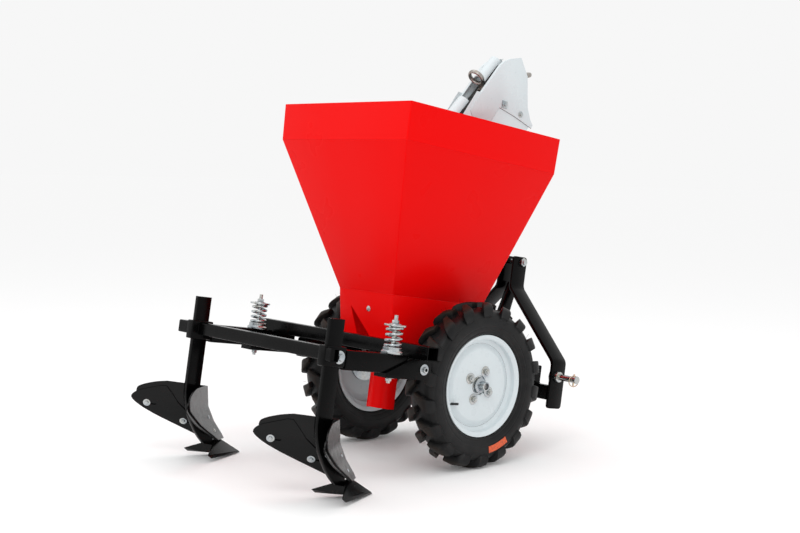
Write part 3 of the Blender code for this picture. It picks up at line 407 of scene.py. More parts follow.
# Hitch: two flat bars bent into a mast that carries the top link bolt and the lower link pins,
# with a flat stay down to the frame. Pins and bolt are turned and bright zinc plated.
def bright_zinc():
    f = Finish("bright_zinc")
    cloud = f.noise(60.0, 4.0)
    tint = f.ramp(
        f.noise(22.0, 2.0),
        (0.35, (0.38, 0.42, 0.45)), (0.55, (0.50, 0.52, 0.52)), (0.75, (0.46, 0.44, 0.38)),
    )
    f.set(Base_Color=tint, Metallic=1.0, Roughness=cloud * 0.22 + 0.16)
    return f.bump(f.noise(420.0, 2.0), 0.10, 0.0004)


ZINC = bright_zinc()
LEG_X0, LEG_X1, LEG_Y, LEG_T = 0.364, 0.434, 0.276, 0.010
PIN_X, PIN_Z, PIN_R = 0.392, 0.318, 0.0108
for side, tag in SIDES:
    bm = bmesh.new()
    outer = [(0.036, 0.722), (0.036, 0.612), (LEG_Y + 0.004, 0.372), (LEG_Y + 0.004, 0.206)]
    inner = [(y - LEG_T, z - (0.007 if 0 < k < 3 else 0)) for k, (y, z) in enumerate(outer)]
    loop = [bm.verts.new((LEG_X0, side * y, z)) for y, z in outer + inner[::-1]]
    grow(bm, [bm.faces.new(loop)], (LEG_X1 - LEG_X0, 0, 0))
    bends = [
        e for e in bm.edges
        if abs(e.verts[0].co.x - e.verts[1].co.x) > 0.05
        and 0.3 < e.verts[0].co.z < 0.7
    ]
    round_edges(bm, bends, 0.012, 5)
    corners = [
        e for e in bm.edges
        if abs(e.verts[0].co.y - e.verts[1].co.y) > 0.008
        and abs(e.verts[0].co.z - e.verts[1].co.z) < 1e-6
        and (e.verts[0].co.z > 0.72 or e.verts[0].co.z < 0.207)
    ]
    round_edges(bm, corners, 0.012, 5)
    bmesh.ops.recalc_face_normals(bm, faces=bm.faces)
    rims = [e for e in bm.edges if e.calc_face_angle(0) > math.radians(60)]
    round_edges(bm, rims, 0.0012, 2)
    weld_y = side * (LEG_Y - 0.0065)
    weld(bm, (0.366, weld_y, 0.284), (0.396, weld_y, 0.284), seed=3)
    seat("mast_leg_" + tag, bm, BLACK, "chassis", "black_paint", "hitch_leg_" + tag)

    face_y = side * (LEG_Y + 0.004)
    base, out = Vector((PIN_X, face_y, PIN_Z)), Vector((0, side, 0))
    bm = bmesh.new()
    rod(bm, base - out * 0.026, base + out * 0.0875, PIN_R, 40)
    knob = [
        (0.0, 0.0868), (PIN_R, 0.0868), (0.0130, 0.0885), (0.0134, 0.0925), (0.0118, 0.0940),
        (0.0, 0.0940),
    ]
    turned(bm, [(r, side * o) for r, o in knob], base, steps=40, closed=False)
    rod(bm, base + out * 0.0003, base + out * 0.0145, 0.0185, 48, 0.002)
    hex_bolt(bm, base - out * LEG_T, -out, 0.030, 0.012)
    seat("link_pin_" + tag, bm, ZINC, "chassis", "zinc", "lower_link_pin_" + tag)

top = Vector((0.410, 0, 0.703))
bm = bmesh.new()
rod(bm, top - Vector((0, 0.052, 0)), top + Vector((0, 0.052, 0)), 0.0095, 32)
for s in (-1, 1):
    hex_bolt(bm, top + Vector((0, s * 0.0362, 0)), (0, s, 0), 0.0275, 0.0100, washer=False)
seat("top_bolt", bm, ZINC, "chassis", "zinc", "top_link_bolt")

bm = bmesh.new()
plate_of(
    bm,
    [(0.395, 0.628), (0.425, 0.628), (0.425, 0.600), (0.365, 0.3475), (0.300, 0.3475),
     (0.300, 0.356)],
    -0.010, 0.010, edge=0.002,
)
for y in (-0.011, 0.011):
    weld(bm, (0.308, y, 0.3480), (0.342, y, 0.3480), seed=4)
seat("mast_strut", bm, BLACK, "chassis", "black_paint", "mast_stay")


# Ring clips: a peg through each lower link pin with a sprung wire ring, plated to a pinkish
# copper yellow.
def yellow_passivate():
    f = Finish("yellow_passivate")
    tint = f.ramp(
        f.noise(90.0, 3.0), (0.35, (0.62, 0.42, 0.33)), (0.65, (0.66, 0.54, 0.36))
    )
    f.set(Base_Color=tint, Metallic=1.0, Roughness=f.noise(150.0) * 0.2 + 0.2)
    return f.bump(f.noise(500.0), 0.08, 0.0003)


COPPERY = yellow_passivate()
for side, tag in SIDES:
    yc = side * (LEG_Y + 0.004 + 0.078)
    bm = bmesh.new()
    rod(bm, (PIN_X, yc, 0.2965), (PIN_X, yc, 0.3375), 0.0030, 20)
    turned(bm, oval(0.0185, 0.0016, 0.0016, 12), (PIN_X, yc, 0.3125), (0.35, 1, 0), 56)
    seat("ring_clip_" + tag, bm, COPPERY, "chassis", "zinc", "pin_clip_" + tag)


# Float pivots: a folded channel under each end of the crossbeam with its gusset, the pivot
# bolt through it, and the plated spring rod whose top plate stays put while the arm lifts.
ARM_Y, ARM_HALF = 0.345, 0.020
PIVOT_X, PIVOT_Z, SPRING_X = -0.335, 0.316, -0.450
CHEEK = 0.0080
for side, tag in SIDES:
    yc = side * ARM_Y
    bm = bmesh.new()
    cheek = [
        (-0.3840, BEAM_Z0 - 0.0003), (-0.4860, 0.2985), (-0.4860, 0.2835), (-0.3120, 0.2835),
        (-0.3060, 0.2900), (-0.3060, BEAM_Z0 - 0.0003),
    ]
    for s in (-1, 1):
        y0, y1 = sorted((yc + s * (ARM_HALF + 0.0004), yc + s * (ARM_HALF + CHEEK + 0.0005)))
        plate_of(bm, cheek, y0, y1, edge=0.001)
        edge_y = yc + s * (ARM_HALF + CHEEK - 0.0015)
        edge_z = BEAM_Z0 - 0.001
        weld(bm, (-0.380, edge_y, edge_z), (-0.340, edge_y, edge_z), 0.0026, seed=6)
    floor = [
        (-0.4860, 0.2835), (-0.3120, 0.2835), (-0.3060, 0.2900), (-0.3060, 0.2960),
        (-0.4860, 0.2960),
    ]
    plate_of(bm, floor, yc - ARM_HALF - 0.002, yc + ARM_HALF + 0.002, edge=0.0)
    seat("pivot_channel_" + tag, bm, BLACK, "chassis", "black_paint", "pivot_bracket_" + tag)

    bm = bmesh.new()
    rod(bm, (PIVOT_X, yc - 0.039, PIVOT_Z), (PIVOT_X, yc + 0.039, PIVOT_Z), 0.0060, 32)
    for s in (-1, 1):
        foot = (PIVOT_X, yc + s * (ARM_HALF + 0.0088), PIVOT_Z)
        hex_bolt(bm, foot, (0, s, 0), 0.0175, 0.0082)
    seat("pivot_pin_" + tag, bm, ZINC, "chassis", "zinc", "pivot_bolt_" + tag)

    bm = bmesh.new()
    rod(bm, (SPRING_X, yc, 0.266), (SPRING_X, yc, 0.472), 0.0058, 24)
    for k in range(18):
        z = 0.4455 + k * 0.0015
        crest = [(0.0054, z), (0.0062, z + 0.0004), (0.0054, z + 0.0008)]
        turned(bm, crest, (SPRING_X, yc, 0), UP, 24)
    rod(bm, (SPRING_X, yc, 0.4380), (SPRING_X, yc, 0.4440), 0.0338, 48, 0.0018)
    rod(bm, (SPRING_X, yc, 0.4436), (SPRING_X, yc, 0.4460), 0.0180, 32, 0.0006)
    hex_bolt(bm, (SPRING_X, yc, 0.4458), (0, 0, 1), 0.019, 0.0105, washer=False)
    hex_bolt(bm, (SPRING_X, yc, 0.2832), (0, 0, -1), 0.0165, 0.0090)
    seat("spring_stud_" + tag, bm, ZINC, "chassis", "zinc", "spring_rod_" + tag)


# Float springs: cold-coiled round wire with closed ends, zinc plated, each coiled at one
# fixed length round its rod.
TURNS, WIRE, COIL = 4.25, 0.0042, 0.0232
SPRING_Z0, SPRING_Z1 = 0.3755 + WIRE, 0.4377 - WIRE
for side, tag in SIDES:
    yc = side * ARM_Y
    bm = bmesh.new()
    ring = None
    count = int(TURNS * 40)
    for k in range(count + 1):
        t = k / count
        a = 2 * math.pi * TURNS * t
        ease = min(max((t * TURNS - 0.5) / (TURNS - 1.0), 0.0), 1.0)
        middle = Vector((SPRING_X, yc, SPRING_Z0 + (SPRING_Z1 - SPRING_Z0) * ease))
        out = Vector((math.cos(a), math.sin(a), 0))
        ends = k in (0, count)
        here = bmesh.ops.create_circle(bm, cap_ends=ends, segments=10, radius=WIRE)["verts"]
        place = Matrix.Translation(middle + out * COIL) @ axes(out, UP, out.cross(UP))
        bmesh.ops.transform(bm, matrix=place, verts=here)
        if ring:
            for j in range(10):
                bm.faces.new((ring[j], ring[(j + 1) % 10], here[(j + 1) % 10], here[j]))
        ring = here
    coil = seat("coil_" + tag, bm, ZINC, "chassis", "zinc", "float_spring_" + tag, crease=60)
    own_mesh(coil)


# Hopper: folded and seam-welded sheet steel in a deep gloss red. The collar stands almost
# straight on the tapering funnel, with a folded rim, and the boot below closes in on the cups.
def hopper_red():
    f = Finish("hopper_red")
    drift = f.ramp(f.noise(1.6, 1.0), (0.25, 0.0), (0.80, 1.0))
    specks = f.ramp(f.noise(260.0, 2.0), (0.70, 0.0), (0.76, 1.0))
    f.set(
        Base_Color=f.mix(
            specks * 0.10, f.mix(drift * 0.5, rgb(0.80, 0.0018, 0.0018), rgb(0.74, 0.0015, 0.0018)),
            rgb(0.40, 0.02, 0.015),
        ),
        Roughness=f.noise(9.0, 2.0) * 0.10 + 0.24,
        Specular_IOR_Level=0.06,
    )
    dents = f.noise(3.0, 0.0)
    peel = f.noise(240.0, 2.0)
    return f.bump(dents + peel * 0.010, 0.12, 0.005)


RED = hopper_red()
SHEET = 0.0020
FLARE = 0.0035
HOP_REAR, HOP_FRONT, HOP_HALF = -0.4755, 0.2135, 0.3175
HOP_TOP, HOP_FOLD, HOP_LOW = 1.120, 1.001, 0.530
LOW_REAR, LOW_FRONT, LOW_HALF = -0.287, 0.130, 0.136
GAP_HALF = 0.0525


def sheet_levels(bm, levels, corner=0.004):
    """A four-sided sheet wall from (rear, front, half width, z) rings, with rolled corners."""
    rings = []
    for x0, x1, h, z in levels:
        ring = bmesh.ops.create_circle(bm, segments=4, radius=1.0)["verts"]
        for v, (x, y) in zip(ring, ((x0, -h), (x1, -h), (x1, h), (x0, h))):
            v.co = Vector((x, y, z))
        rings.append(edges_within(bm, ring))
    for low, high in zip(rings, rings[1:]):
        bmesh.ops.bridge_loops(bm, edges=low + high)
    bmesh.ops.recalc_face_normals(bm, faces=bm.faces)
    if corner:
        ups = [e for e in bm.edges if len(e.link_faces) == 2 and abs(direction(e).z) > 0.5]
        round_edges(bm, ups, corner, 4)


def thicken_inwards(bm, wall):
    """Gives an open sheet its thickness on the inside of the box it forms."""
    bmesh.ops.recalc_face_normals(bm, faces=bm.faces)
    centre = sum((v.co for v in bm.verts), Vector()) / len(bm.verts)
    face = max(bm.faces, key=lambda f: f.calc_area())
    if face.normal.dot(face.calc_center_median() - centre) < 0:
        bmesh.ops.reverse_faces(bm, faces=bm.faces)
    bmesh.ops.solidify(bm, geom=bm.faces[:], thickness=wall)


def open_front(bm, half, x_past, z0, z1):
    """Cuts the slot in the front wall that the elevator leaves through."""
    for y in (-half, half):
        cut_across(bm, (0, y, 0), LEFT)
    for z in (z0, z1):
        cut_across(bm, (0, 0, z), UP)
    drop_faces(bm, lambda c: c.x > x_past and abs(c.y) < half and z0 < c.z < z1)


bm = bmesh.new()
fold = (HOP_REAR + FLARE, HOP_FRONT - FLARE, HOP_HALF - FLARE, HOP_FOLD)
rim = (HOP_REAR, HOP_FRONT, HOP_HALF, HOP_TOP)
sheet_levels(bm, [fold, rim])
open_front(bm, GAP_HALF, 0.15, HOP_FOLD - 0.1, HOP_TOP + 0.1)
thicken_inwards(bm, SHEET)
# The rim is hemmed inwards on all four sides, with a gap for the elevator in front.
HEM = (HOP_TOP - 0.0022, HOP_TOP - 0.0002)
HEM_HALF = HOP_HALF - 0.002
for side in (-1, 1):
    y0, y1 = sorted((side * (HOP_HALF - 0.0012), side * (HOP_HALF - 0.0160)))
    cuboid(bm, HOP_REAR + 0.002, HOP_FRONT - 0.002, y0, y1, *HEM)
cuboid(bm, HOP_REAR + 0.0012, HOP_REAR + 0.0160, -HEM_HALF, HEM_HALF, *HEM)
for side in (-1, 1):
    y0, y1 = sorted((side * (GAP_HALF + 0.0005), side * HEM_HALF))
    cuboid(bm, HOP_FRONT - 0.0160, HOP_FRONT - 0.0012, y0, y1, *HEM)
seat("collar_sheet", bm, RED, "chassis", "red_paint", "hopper_collar", crease=25)

bm = bmesh.new()
low_ring = (LOW_REAR, LOW_FRONT, LOW_HALF, HOP_LOW)
sheet_levels(bm, [low_ring, (*fold[:3], HOP_FOLD - 0.0003)])
open_front(bm, GAP_HALF, 0.13, 0.80, 1.10)
thicken_inwards(bm, SHEET)
seat("funnel_sheet", bm, RED, "chassis", "red_paint", "hopper_funnel", crease=25)

SUMP = (-0.2600, 0.110, 0.1250, 0.3475)
bm = bmesh.new()
sheet_levels(bm, [SUMP, (LOW_REAR, LOW_FRONT, LOW_HALF, HOP_LOW - 0.0003)])
# The rear panel has a three-cornered gap, which shows the dark inside of the boot.
NOTCH_TOP, NOTCH_LOW = Vector((0, 0.0752, 0.4786)), 0.3600
NOTCH_DEEP, NOTCH_NEAR, NOTCH_FAR = 0.1186, 0.0429, 0.1252


def in_notch(middle):
    down = middle - NOTCH_TOP
    reach = down.y * NOTCH_DEEP
    across = down.z * NOTCH_FAR < reach < down.z * NOTCH_NEAR
    return across and middle.x < -0.2 and down.z > NOTCH_LOW - NOTCH_TOP.z


cut_across(bm, (0, 0, NOTCH_LOW), UP)
cut_across(bm, NOTCH_TOP, Vector((0, NOTCH_DEEP, -NOTCH_NEAR)))
cut_across(bm, NOTCH_TOP, Vector((0, -NOTCH_DEEP, NOTCH_FAR)))
drop_faces(bm, in_notch)
thicken_inwards(bm, SHEET)
seat("boot_sheet", bm, RED, "chassis", "red_paint", "hopper_boot", crease=25)

# Boot screw: one small plated hex screw through the rear panel into the frame behind it.
SCREW_Z = 0.474
screw_x = SUMP[0] + (LOW_REAR - SUMP[0]) * (SCREW_Z - SUMP[3]) / (HOP_LOW - SUMP[3])
bm = bmesh.new()
hex_bolt(bm, (screw_x - 0.0004, -0.018, SCREW_Z), (-1, 0, -0.13), 0.0095, 0.0040)
seat("boot_screws", bm, ZINC, "chassis", "zinc")


# Cup elevator casing: two bent side plates up from the boot, with shaped head plates lapped
# over them and folded in along the rear. All in cool white enamel, bolted with zinc screws.
def cool_white():
    f = Finish("cool_white")
    drift = f.ramp(f.noise(6.0, 4.0), (0.35, 0.0), (0.72, 1.0))
    marks = f.ramp(f.noise(70.0, 6.0), (0.66, 0.0), (0.72, 1.0))
    base = f.mix(drift * 0.6, rgb(0.655, 0.715, 0.735), rgb(0.60, 0.66, 0.685))
    f.set(
        Base_Color=f.mix(marks * 0.16, base, rgb(0.34, 0.36, 0.37)),
        Roughness=f.noise(30.0, 3.0) * 0.20 + 0.20,
        Specular_IOR_Level=0.30,
    )
    return f.bump(f.noise(200.0, 2.0) * 0.3 + f.noise(18.0, 1.0), 0.12, 0.002)


WHITE = cool_white()


# Rubber of the belt and the valves, and the black of the painted shade at laps and rim creases.
def ribbed_rubber():
    f = Finish("ribbed_rubber")
    f.set(
        Base_Color=f.mix(
            f.ramp(f.noise(45.0, 5.0), (0.45, 0.0), (0.8, 1.0)), rgb(0.012, 0.012, 0.012),
            rgb(0.060, 0.055, 0.050),
        ),
        Roughness=f.noise(80.0) * 0.2 + 0.55,
    )
    return f.bump(f.noise(350.0, 3.0), 0.25, 0.0006)


RUBBER = ribbed_rubber()
CASING = [
    (-0.185, 0.440), (-0.185, 0.375), (-0.150, 0.350), (-0.100, 0.350), (0.010, 0.420),
    (0.1500, 0.790), (0.3480, 1.205), (0.3180, 1.262), (0.060, 1.262), (-0.034, 1.100),
]
HEAD = [
    (0.0390, 1.1890), (0.0420, 1.2030), (0.1570, 1.3720), (0.1780, 1.3910), (0.2040, 1.4040),
    (0.2560, 1.4190), (0.2990, 1.3610), (0.3240, 1.2310), (0.3570, 1.1960), (0.3520, 1.1830),
    (0.2650, 1.2080), (0.1760, 1.2270), (0.1400, 1.1700), (0.0520, 1.1700),
]
CASING_Y, HEAD_Y, PAD_Y = 0.0475, 0.0498, 0.0520
for side, tag in SIDES:
    bm = bmesh.new()
    plate_of(bm, CASING, *sorted((side * (CASING_Y - 0.0020), side * CASING_Y)), edge=0.0006)
    seat("casing_side_" + tag, bm, WHITE, "chassis", "white_paint", "elevator_side_" + tag)

    bm = bmesh.new()
    plate_of(bm, HEAD, *sorted((side * (CASING_Y + 0.0003), side * HEAD_Y)), edge=0.0006)
    # The folded rear edge, turned in towards the belt, and the hem along the brow.
    for (xa, za), (xb, zb) in zip(HEAD[1:5], HEAD[2:6]):
        run = Vector((xb - xa, 0, zb - za))
        lip = bmesh.ops.create_cube(bm, size=1.0)["verts"]
        bmesh.ops.scale(bm, verts=lip, vec=(run.length, 0.0110, 0.0018))
        turn = Matrix.Rotation(-math.atan2(run.z, run.x), 4, "Y")
        middle = Vector(((xa + xb) / 2, side * 0.0435, (za + zb) / 2))
        bmesh.ops.transform(bm, matrix=Matrix.Translation(middle) @ turn, verts=lip)
    seat("head_cheek_" + tag, bm, WHITE, "chassis", "white_paint", "head_plate_" + tag)

    # A thin dark bead along the lap between the two plates: painted shade for the shadowed gap under
    # the head plate's edge.
    bm = bmesh.new()
    for (xa, za), (xb, zb) in zip(HEAD[9:12], HEAD[10:13]):
        rod(bm, (xa, side * 0.0480, za), (xb, side * 0.0480, zb), 0.0009, 8, 0.0)
    seat("lap_mastic_" + tag, bm, RUBBER, "chassis", "white_paint")

    bm = bmesh.new()
    cuboid(bm, 0.186, 0.212, *sorted((side * (HEAD_Y + 0.0001), side * PAD_Y)), 1.228, 1.254)
    for x, y, z, size, height in (
        (0.199, PAD_Y, 1.241, 0.0125, 0.0055), (0.287, HEAD_Y, 1.222, 0.0115, 0.0055),
        (-0.001, CASING_Y, 1.059, 0.013, 0.0050),
    ):
        hex_bolt(bm, (x, side * y, z), (0, side, 0), size, height)
    seat("casing_screws_" + tag, bm, ZINC, "chassis", "zinc")


# Cup belt: a black ribbed rubber band over three pulleys. Each station has a bent bracket held
# by four rivets, a ring-shaped cup and a white half-round trough that cradles the potato.
P_LOW, P_IDLE, P_HEAD = (-0.130, 0.410, 0.045), (-0.001, 1.059, 0.030), (0.235, 1.345, 0.040)
BELT_IN, BELT_T, BELT_HALF = 0.0009, 0.005, 0.034


def tight_loop(circles, extra, arc=16.0):
    """Points of a band drawn tight round circles given in clockwise order."""
    tangents = []
    for (x0, z0, r0), (x1, z1, r1) in round_about(circles):
        span = math.hypot(x1 - x0, z1 - z0)
        tangents.append(math.atan2(z1 - z0, x1 - x0) + math.acos((r0 - r1) / span))
    points = []
    for i, (x, z, r) in enumerate(circles):
        sweep = (tangents[i - 1] - tangents[i]) % (2 * math.pi)
        steps = max(2, int(round(sweep / math.radians(arc))))
        for k in range(steps + 1):
            a = tangents[i - 1] - sweep * k / steps
            points.append((x + (r + extra) * math.cos(a), z + (r + extra) * math.sin(a)))
    return points


def round_about(points):
    return list(zip(points, points[1:] + points[:1]))


def loop_length(points):
    return sum(math.dist(a, b) for a, b in round_about(points))


def on_loop(points, distance):
    """Point, direction and outward normal at a distance round a loop."""
    ends = round_about(points)
    distance %= loop_length(points)
    for a, b in ends:
        step = math.dist(a, b)
        if distance <= step:
            along = Vector((b[0] - a[0], 0, b[1] - a[1])) / step
            point = Vector((a[0], 0, a[1])) + along * distance
            return point, along, Vector((-along.z, 0, along.x))
        distance -= step


def band(bm, outer, inner, y0, y1):
    """A closed band between an outer and an inner loop of the same number of points."""
    edges = []
    rows = [[bm.verts.new((x, y, z)) for x, z in loop] for loop in (outer, inner) for y in (y0, y1)]
    for row in rows:
        edges.append([bm.edges.new(pair) for pair in round_about(row)])
    for a, b in ((0, 1), (1, 3), (3, 2), (2, 0)):
        bmesh.ops.bridge_loops(bm, edges=edges[a] + edges[b])


LOOP = [P_LOW, P_IDLE, P_HEAD]
OUTER = tight_loop(LOOP, BELT_IN + BELT_T)
AROUND = loop_length(OUTER)
STATIONS = 11
FIRST_CUP = Vector((0.095, 0, 1.316))
CUP_OFF = 0.050
TRIES = 2000
RIB_PITCH = 0.012


def from_first_cup(distance):
    point, _, out = on_loop(OUTER, distance)
    return (point + out * CUP_OFF - FIRST_CUP).length


start = min((AROUND * k / TRIES for k in range(TRIES)), key=from_first_cup)
bm = bmesh.new()
band(bm, OUTER, tight_loop(LOOP, BELT_IN), -BELT_HALF, BELT_HALF)
for k in range(int(AROUND / RIB_PITCH)):
    point, along, out = on_loop(OUTER, RIB_PITCH * k)
    rib = bmesh.ops.create_cube(bm, size=1.0)["verts"]
    bmesh.ops.scale(bm, verts=rib, vec=(0.0030, 2 * BELT_HALF - 0.006, 0.0016))
    bmesh.ops.transform(bm, matrix=Matrix.Translation(point) @ axes(along, LEFT, out), verts=rib)
seat("cup_band", bm, RUBBER, "chassis", "belt", "cup_belt")


def brown_zinc():
    f = Finish("brown_zinc")
    tint = f.ramp(f.noise(70.0, 4.0), (0.35, (0.30, 0.27, 0.24)), (0.7, (0.46, 0.44, 0.42)))
    f.set(Base_Color=tint, Metallic=1.0, Roughness=f.noise(120.0) * 0.25 + 0.28)
    return f.bump(f.noise(300.0), 0.15, 0.0005)


CUP_METAL = brown_zinc()
bm = bmesh.new()
troughs = bmesh.new()
for k in range(STATIONS):
    point, along, out = on_loop(OUTER, start + AROUND * k / STATIONS)
    basis = Matrix.Translation(point) @ axes(along, LEFT, out)
    foot = cuboid(bm, -0.013, 0.013, -0.018, 0.018, 0.0003, 0.0035)
    arm = cuboid(bm, -0.0022, 0.0022, -0.014, 0.014, 0.0030, 0.0215)
    bmesh.ops.transform(bm, matrix=basis, verts=foot + arm)
    for u, y in ((-0.008, -0.010), (-0.008, 0.010), (0.008, -0.010), (0.008, 0.010)):
        rivet = basis @ Vector((u, y, 0.0033))
        rod(bm, rivet, rivet + out * 0.0022, 0.0036, 16, 0.0009)
    turned(bm, oval(0.0262, 0.0050, 0.0080, 16), point + out * CUP_OFF, along, 40)
    # Trough: a half-round white shell ahead of the ring, widening at its open lower rim.
    shell = bmesh.new()
    rows = []
    for u, r in ((0.004, 0.0252), (0.030, 0.0244), (0.070, 0.0240), (0.112, 0.0238)):
        arc = bmesh.ops.create_circle(shell, segments=32, radius=r)["verts"]
        for j, v in enumerate(arc):
            a = 2 * math.pi * j / 32
            v.co = Vector((u, r * math.cos(a), 0.0270 + r * math.sin(a)))
        rows.append(edges_within(shell, arc))
    for low, high in zip(rows, rows[1:]):
        bmesh.ops.bridge_loops(shell, edges=low + high)
    cut_across(shell, (0, 0, 0.0269), (0, 0, -1), clear_outer=True)
    bmesh.ops.recalc_face_normals(shell, faces=shell.faces)
    bmesh.ops.solidify(shell, geom=shell.faces[:], thickness=0.0018)
    # A station's trough bends out of line where the band turns, so those stations go without.
    ahead = on_loop(OUTER, start + AROUND * k / STATIONS + 0.115)[1]
    if ahead.angle(along) < math.radians(12):
        bmesh.ops.transform(shell, matrix=basis, verts=shell.verts)
        join(troughs, shell)
    else:
        shell.free()
seat("cup_rings", bm, CUP_METAL, "chassis", "zinc")
seat("cup_troughs", troughs, WHITE, "chassis", "white_paint")


# Pulleys and their pins: cast alloy rollers, stepped in at both ends, on ground steel pins held
# between the casing plates. The lowest one is keyed to the driven shaft.
def cast_alloy():
    f = Finish("cast_alloy")
    tint = f.ramp(f.noise(35.0, 4.0), (0.3, (0.34, 0.35, 0.36)), (0.8, (0.52, 0.53, 0.54)))
    f.set(Base_Color=tint, Metallic=1.0, Roughness=f.noise(90.0) * 0.2 + 0.38)
    return f.bump(f.noise(260.0, 4.0), 0.2, 0.0006)


def ground_steel():
    f = Finish("ground_steel")
    grime = f.ramp(f.noise(28.0, 6.0), (0.48, 0.0), (0.66, 1.0))
    f.set(
        Base_Color=f.mix(grime * 0.7, rgb(0.36, 0.35, 0.34), rgb(0.06, 0.045, 0.035)),
        Metallic=1.0 - grime * 0.35,
        Roughness=f.noise(130.0, 3.0) * 0.2 + 0.30,
    )
    return f.bump(f.noise(300.0), 0.12, 0.0004)


ALLOY, STEEL = cast_alloy(), ground_steel()
for name, node, pin, body, (x, z, r) in (
    ("head", "belt_pulley_head", "pin_head", "head_pulley", P_HEAD),
    ("idle", "belt_roller_idle", "pin_idle", "idle_roller", P_IDLE),
):
    bm = bmesh.new()
    half = 0.036
    drum = [
        (0.0084, -half), (r - 0.009, -half), (r - 0.009, -half + 0.004), (r - 0.0015, -half + 0.004),
        (r, -half + 0.006), (r, half - 0.006), (r - 0.0015, half - 0.004), (r - 0.009, half - 0.004),
        (r - 0.009, half), (0.0084, half),
    ]
    turned(bm, drum, (x, 0, z), steps=56)
    seat("drum_" + name, bm, ALLOY, body, "alloy", node)
    bm = bmesh.new()
    rod(bm, (x, -0.0451, z), (x, 0.0451, z), 0.0079, 28)
    seat("journal_" + name, bm, STEEL, "chassis", "steel", pin)

CHAIN_Y, CHAIN_PITCH, TEETH = 0.142, 0.0254, 14
PITCH_R = CHAIN_PITCH / (2 * math.sin(math.pi / TEETH))


def sprocket(bm, x, z, phase):
    """A toothed disc: a circle whose rim is drawn in between the teeth, given its thickness."""
    rim = bmesh.ops.create_circle(bm, cap_ends=True, segments=TEETH * 8, radius=PITCH_R)["verts"]
    for k, v in enumerate(rim):
        a = phase + 2 * math.pi * k / len(rim)
        dip = 0.5 - 0.5 * math.cos(2 * math.pi * ((k % 8) / 8))
        r = PITCH_R - 0.0003 - 0.0095 * min(1.0, dip * 1.25)
        v.co = Vector((x + r * math.cos(a), CHAIN_Y - 0.003, z + r * math.sin(a)))
    grow(bm, [f for f in bm.faces if set(f.verts) == set(rim)], (0, 0.006, 0))


bm = bmesh.new()
x, z, r = P_LOW
rod(bm, (x, -0.0358, z), (x, 0.0358, z), r, 64, 0.002)
rod(bm, (x, -0.062, z), (x, 0.149, z), 0.0099, 32)
sprocket(bm, x, z, 0.1)
rod(bm, (x, CHAIN_Y - 0.012, z), (x, CHAIN_Y + 0.0068, z), 0.0210, 32, 0.001)
seat("drive_drum", bm, ALLOY, "low_pulley", "alloy", "belt_pulley_low")

# Drive chain: steel side plates in pairs, pinned through rollers, tight round both sprockets.
bm = bmesh.new()
chain_line = tight_loop([(0.0, WHEEL_R, PITCH_R), (P_LOW[0], P_LOW[1], PITCH_R)], 0.0050, 4.0)
chain_long = loop_length(chain_line)
links = 2 * round(chain_long / CHAIN_PITCH / 2)
for k in range(links):
    a = on_loop(chain_line, chain_long * k / links)[0] + Vector((0, CHAIN_Y, 0))
    b = on_loop(chain_line, chain_long * (k + 1) / links)[0] + Vector((0, CHAIN_Y, 0))
    rod(bm, a - LEFT * 0.0030, a + LEFT * 0.0030, 0.0033, 14, 0.0)
    rod(bm, a - LEFT * 0.0066, a + LEFT * 0.0066, 0.0017, 10, 0.0)
    gap = 0.0036 if k % 2 else 0.0050
    turn = Matrix.Rotation(-math.atan2(b.z - a.z, b.x - a.x), 4, "Y")
    for s in (-1, 1):
        plate = bmesh.ops.create_circle(bm, cap_ends=True, segments=20, radius=0.0036)["verts"]
        for v in plate:
            waist = (b - a).length / 2 * (1 if v.co.x > 0 else -1)
            v.co = Vector((v.co.x + waist, 0, v.co.y))
        far = grow(bm, [f for f in bm.faces if set(f.verts) == set(plate)], (0, 0.0011, 0))
        shift = (a + b) / 2 + Vector((0, s * gap - 0.00055, 0))
        bmesh.ops.transform(bm, matrix=Matrix.Translation(shift) @ turn, verts=plate + far)
seat("roller_chain", bm, STEEL, "chassis", "steel", "drive_chain")


# Seed tube: a half pipe of the same red sheet, open to the front, that drops each potato into
# the furrow. Its lower end is cut on a slight slant.
bm = bmesh.new()
CHUTE_X, CHUTE_Z0 = -0.1455, 0.150
line = [bm.verts.new((CHUTE_X, 0.0550, z)) for z in (CHUTE_Z0, 0.185, 0.240, 0.2950)]
edges = [bm.edges.new(pair) for pair in zip(line, line[1:])]
bmesh.ops.spin(
    bm, geom=line + edges, cent=(CHUTE_X, 0, 0), axis=UP, angle=math.pi, steps=28,
    use_merge=False,
)
for v in bm.verts:
    if v.co.z < CHUTE_Z0 + 0.01:
        v.co.z = CHUTE_Z0 - 0.1 * max(0.0, v.co.y)
bmesh.ops.recalc_face_normals(bm, faces=bm.faces)
first = bm.faces[:][0]
if first.normal.dot(first.calc_center_median() - Vector((CHUTE_X, 0, 0.2))) < 0:
    bmesh.ops.reverse_faces(bm, faces=bm.faces)
bmesh.ops.solidify(bm, geom=bm.faces[:], thickness=0.0024)
seat("seed_chute", bm, RED, "chassis", "red_paint", "seed_tube", crease=40)

# Axle: a plain turned shaft with the driving sprocket keyed on inside the left rail.
bm = bmesh.new()
rod(bm, (0, -0.318, WHEEL_R), (0, 0.318, WHEEL_R), 0.0109, 40)
sprocket(bm, 0.0, WHEEL_R, 0.0)
rod(bm, (0, CHAIN_Y - 0.0200, WHEEL_R), (0, CHAIN_Y - 0.0025, WHEEL_R), 0.0210, 32, 0.001)
seat("axle_shaft", bm, STEEL, "wheel_set", "steel", "axle")


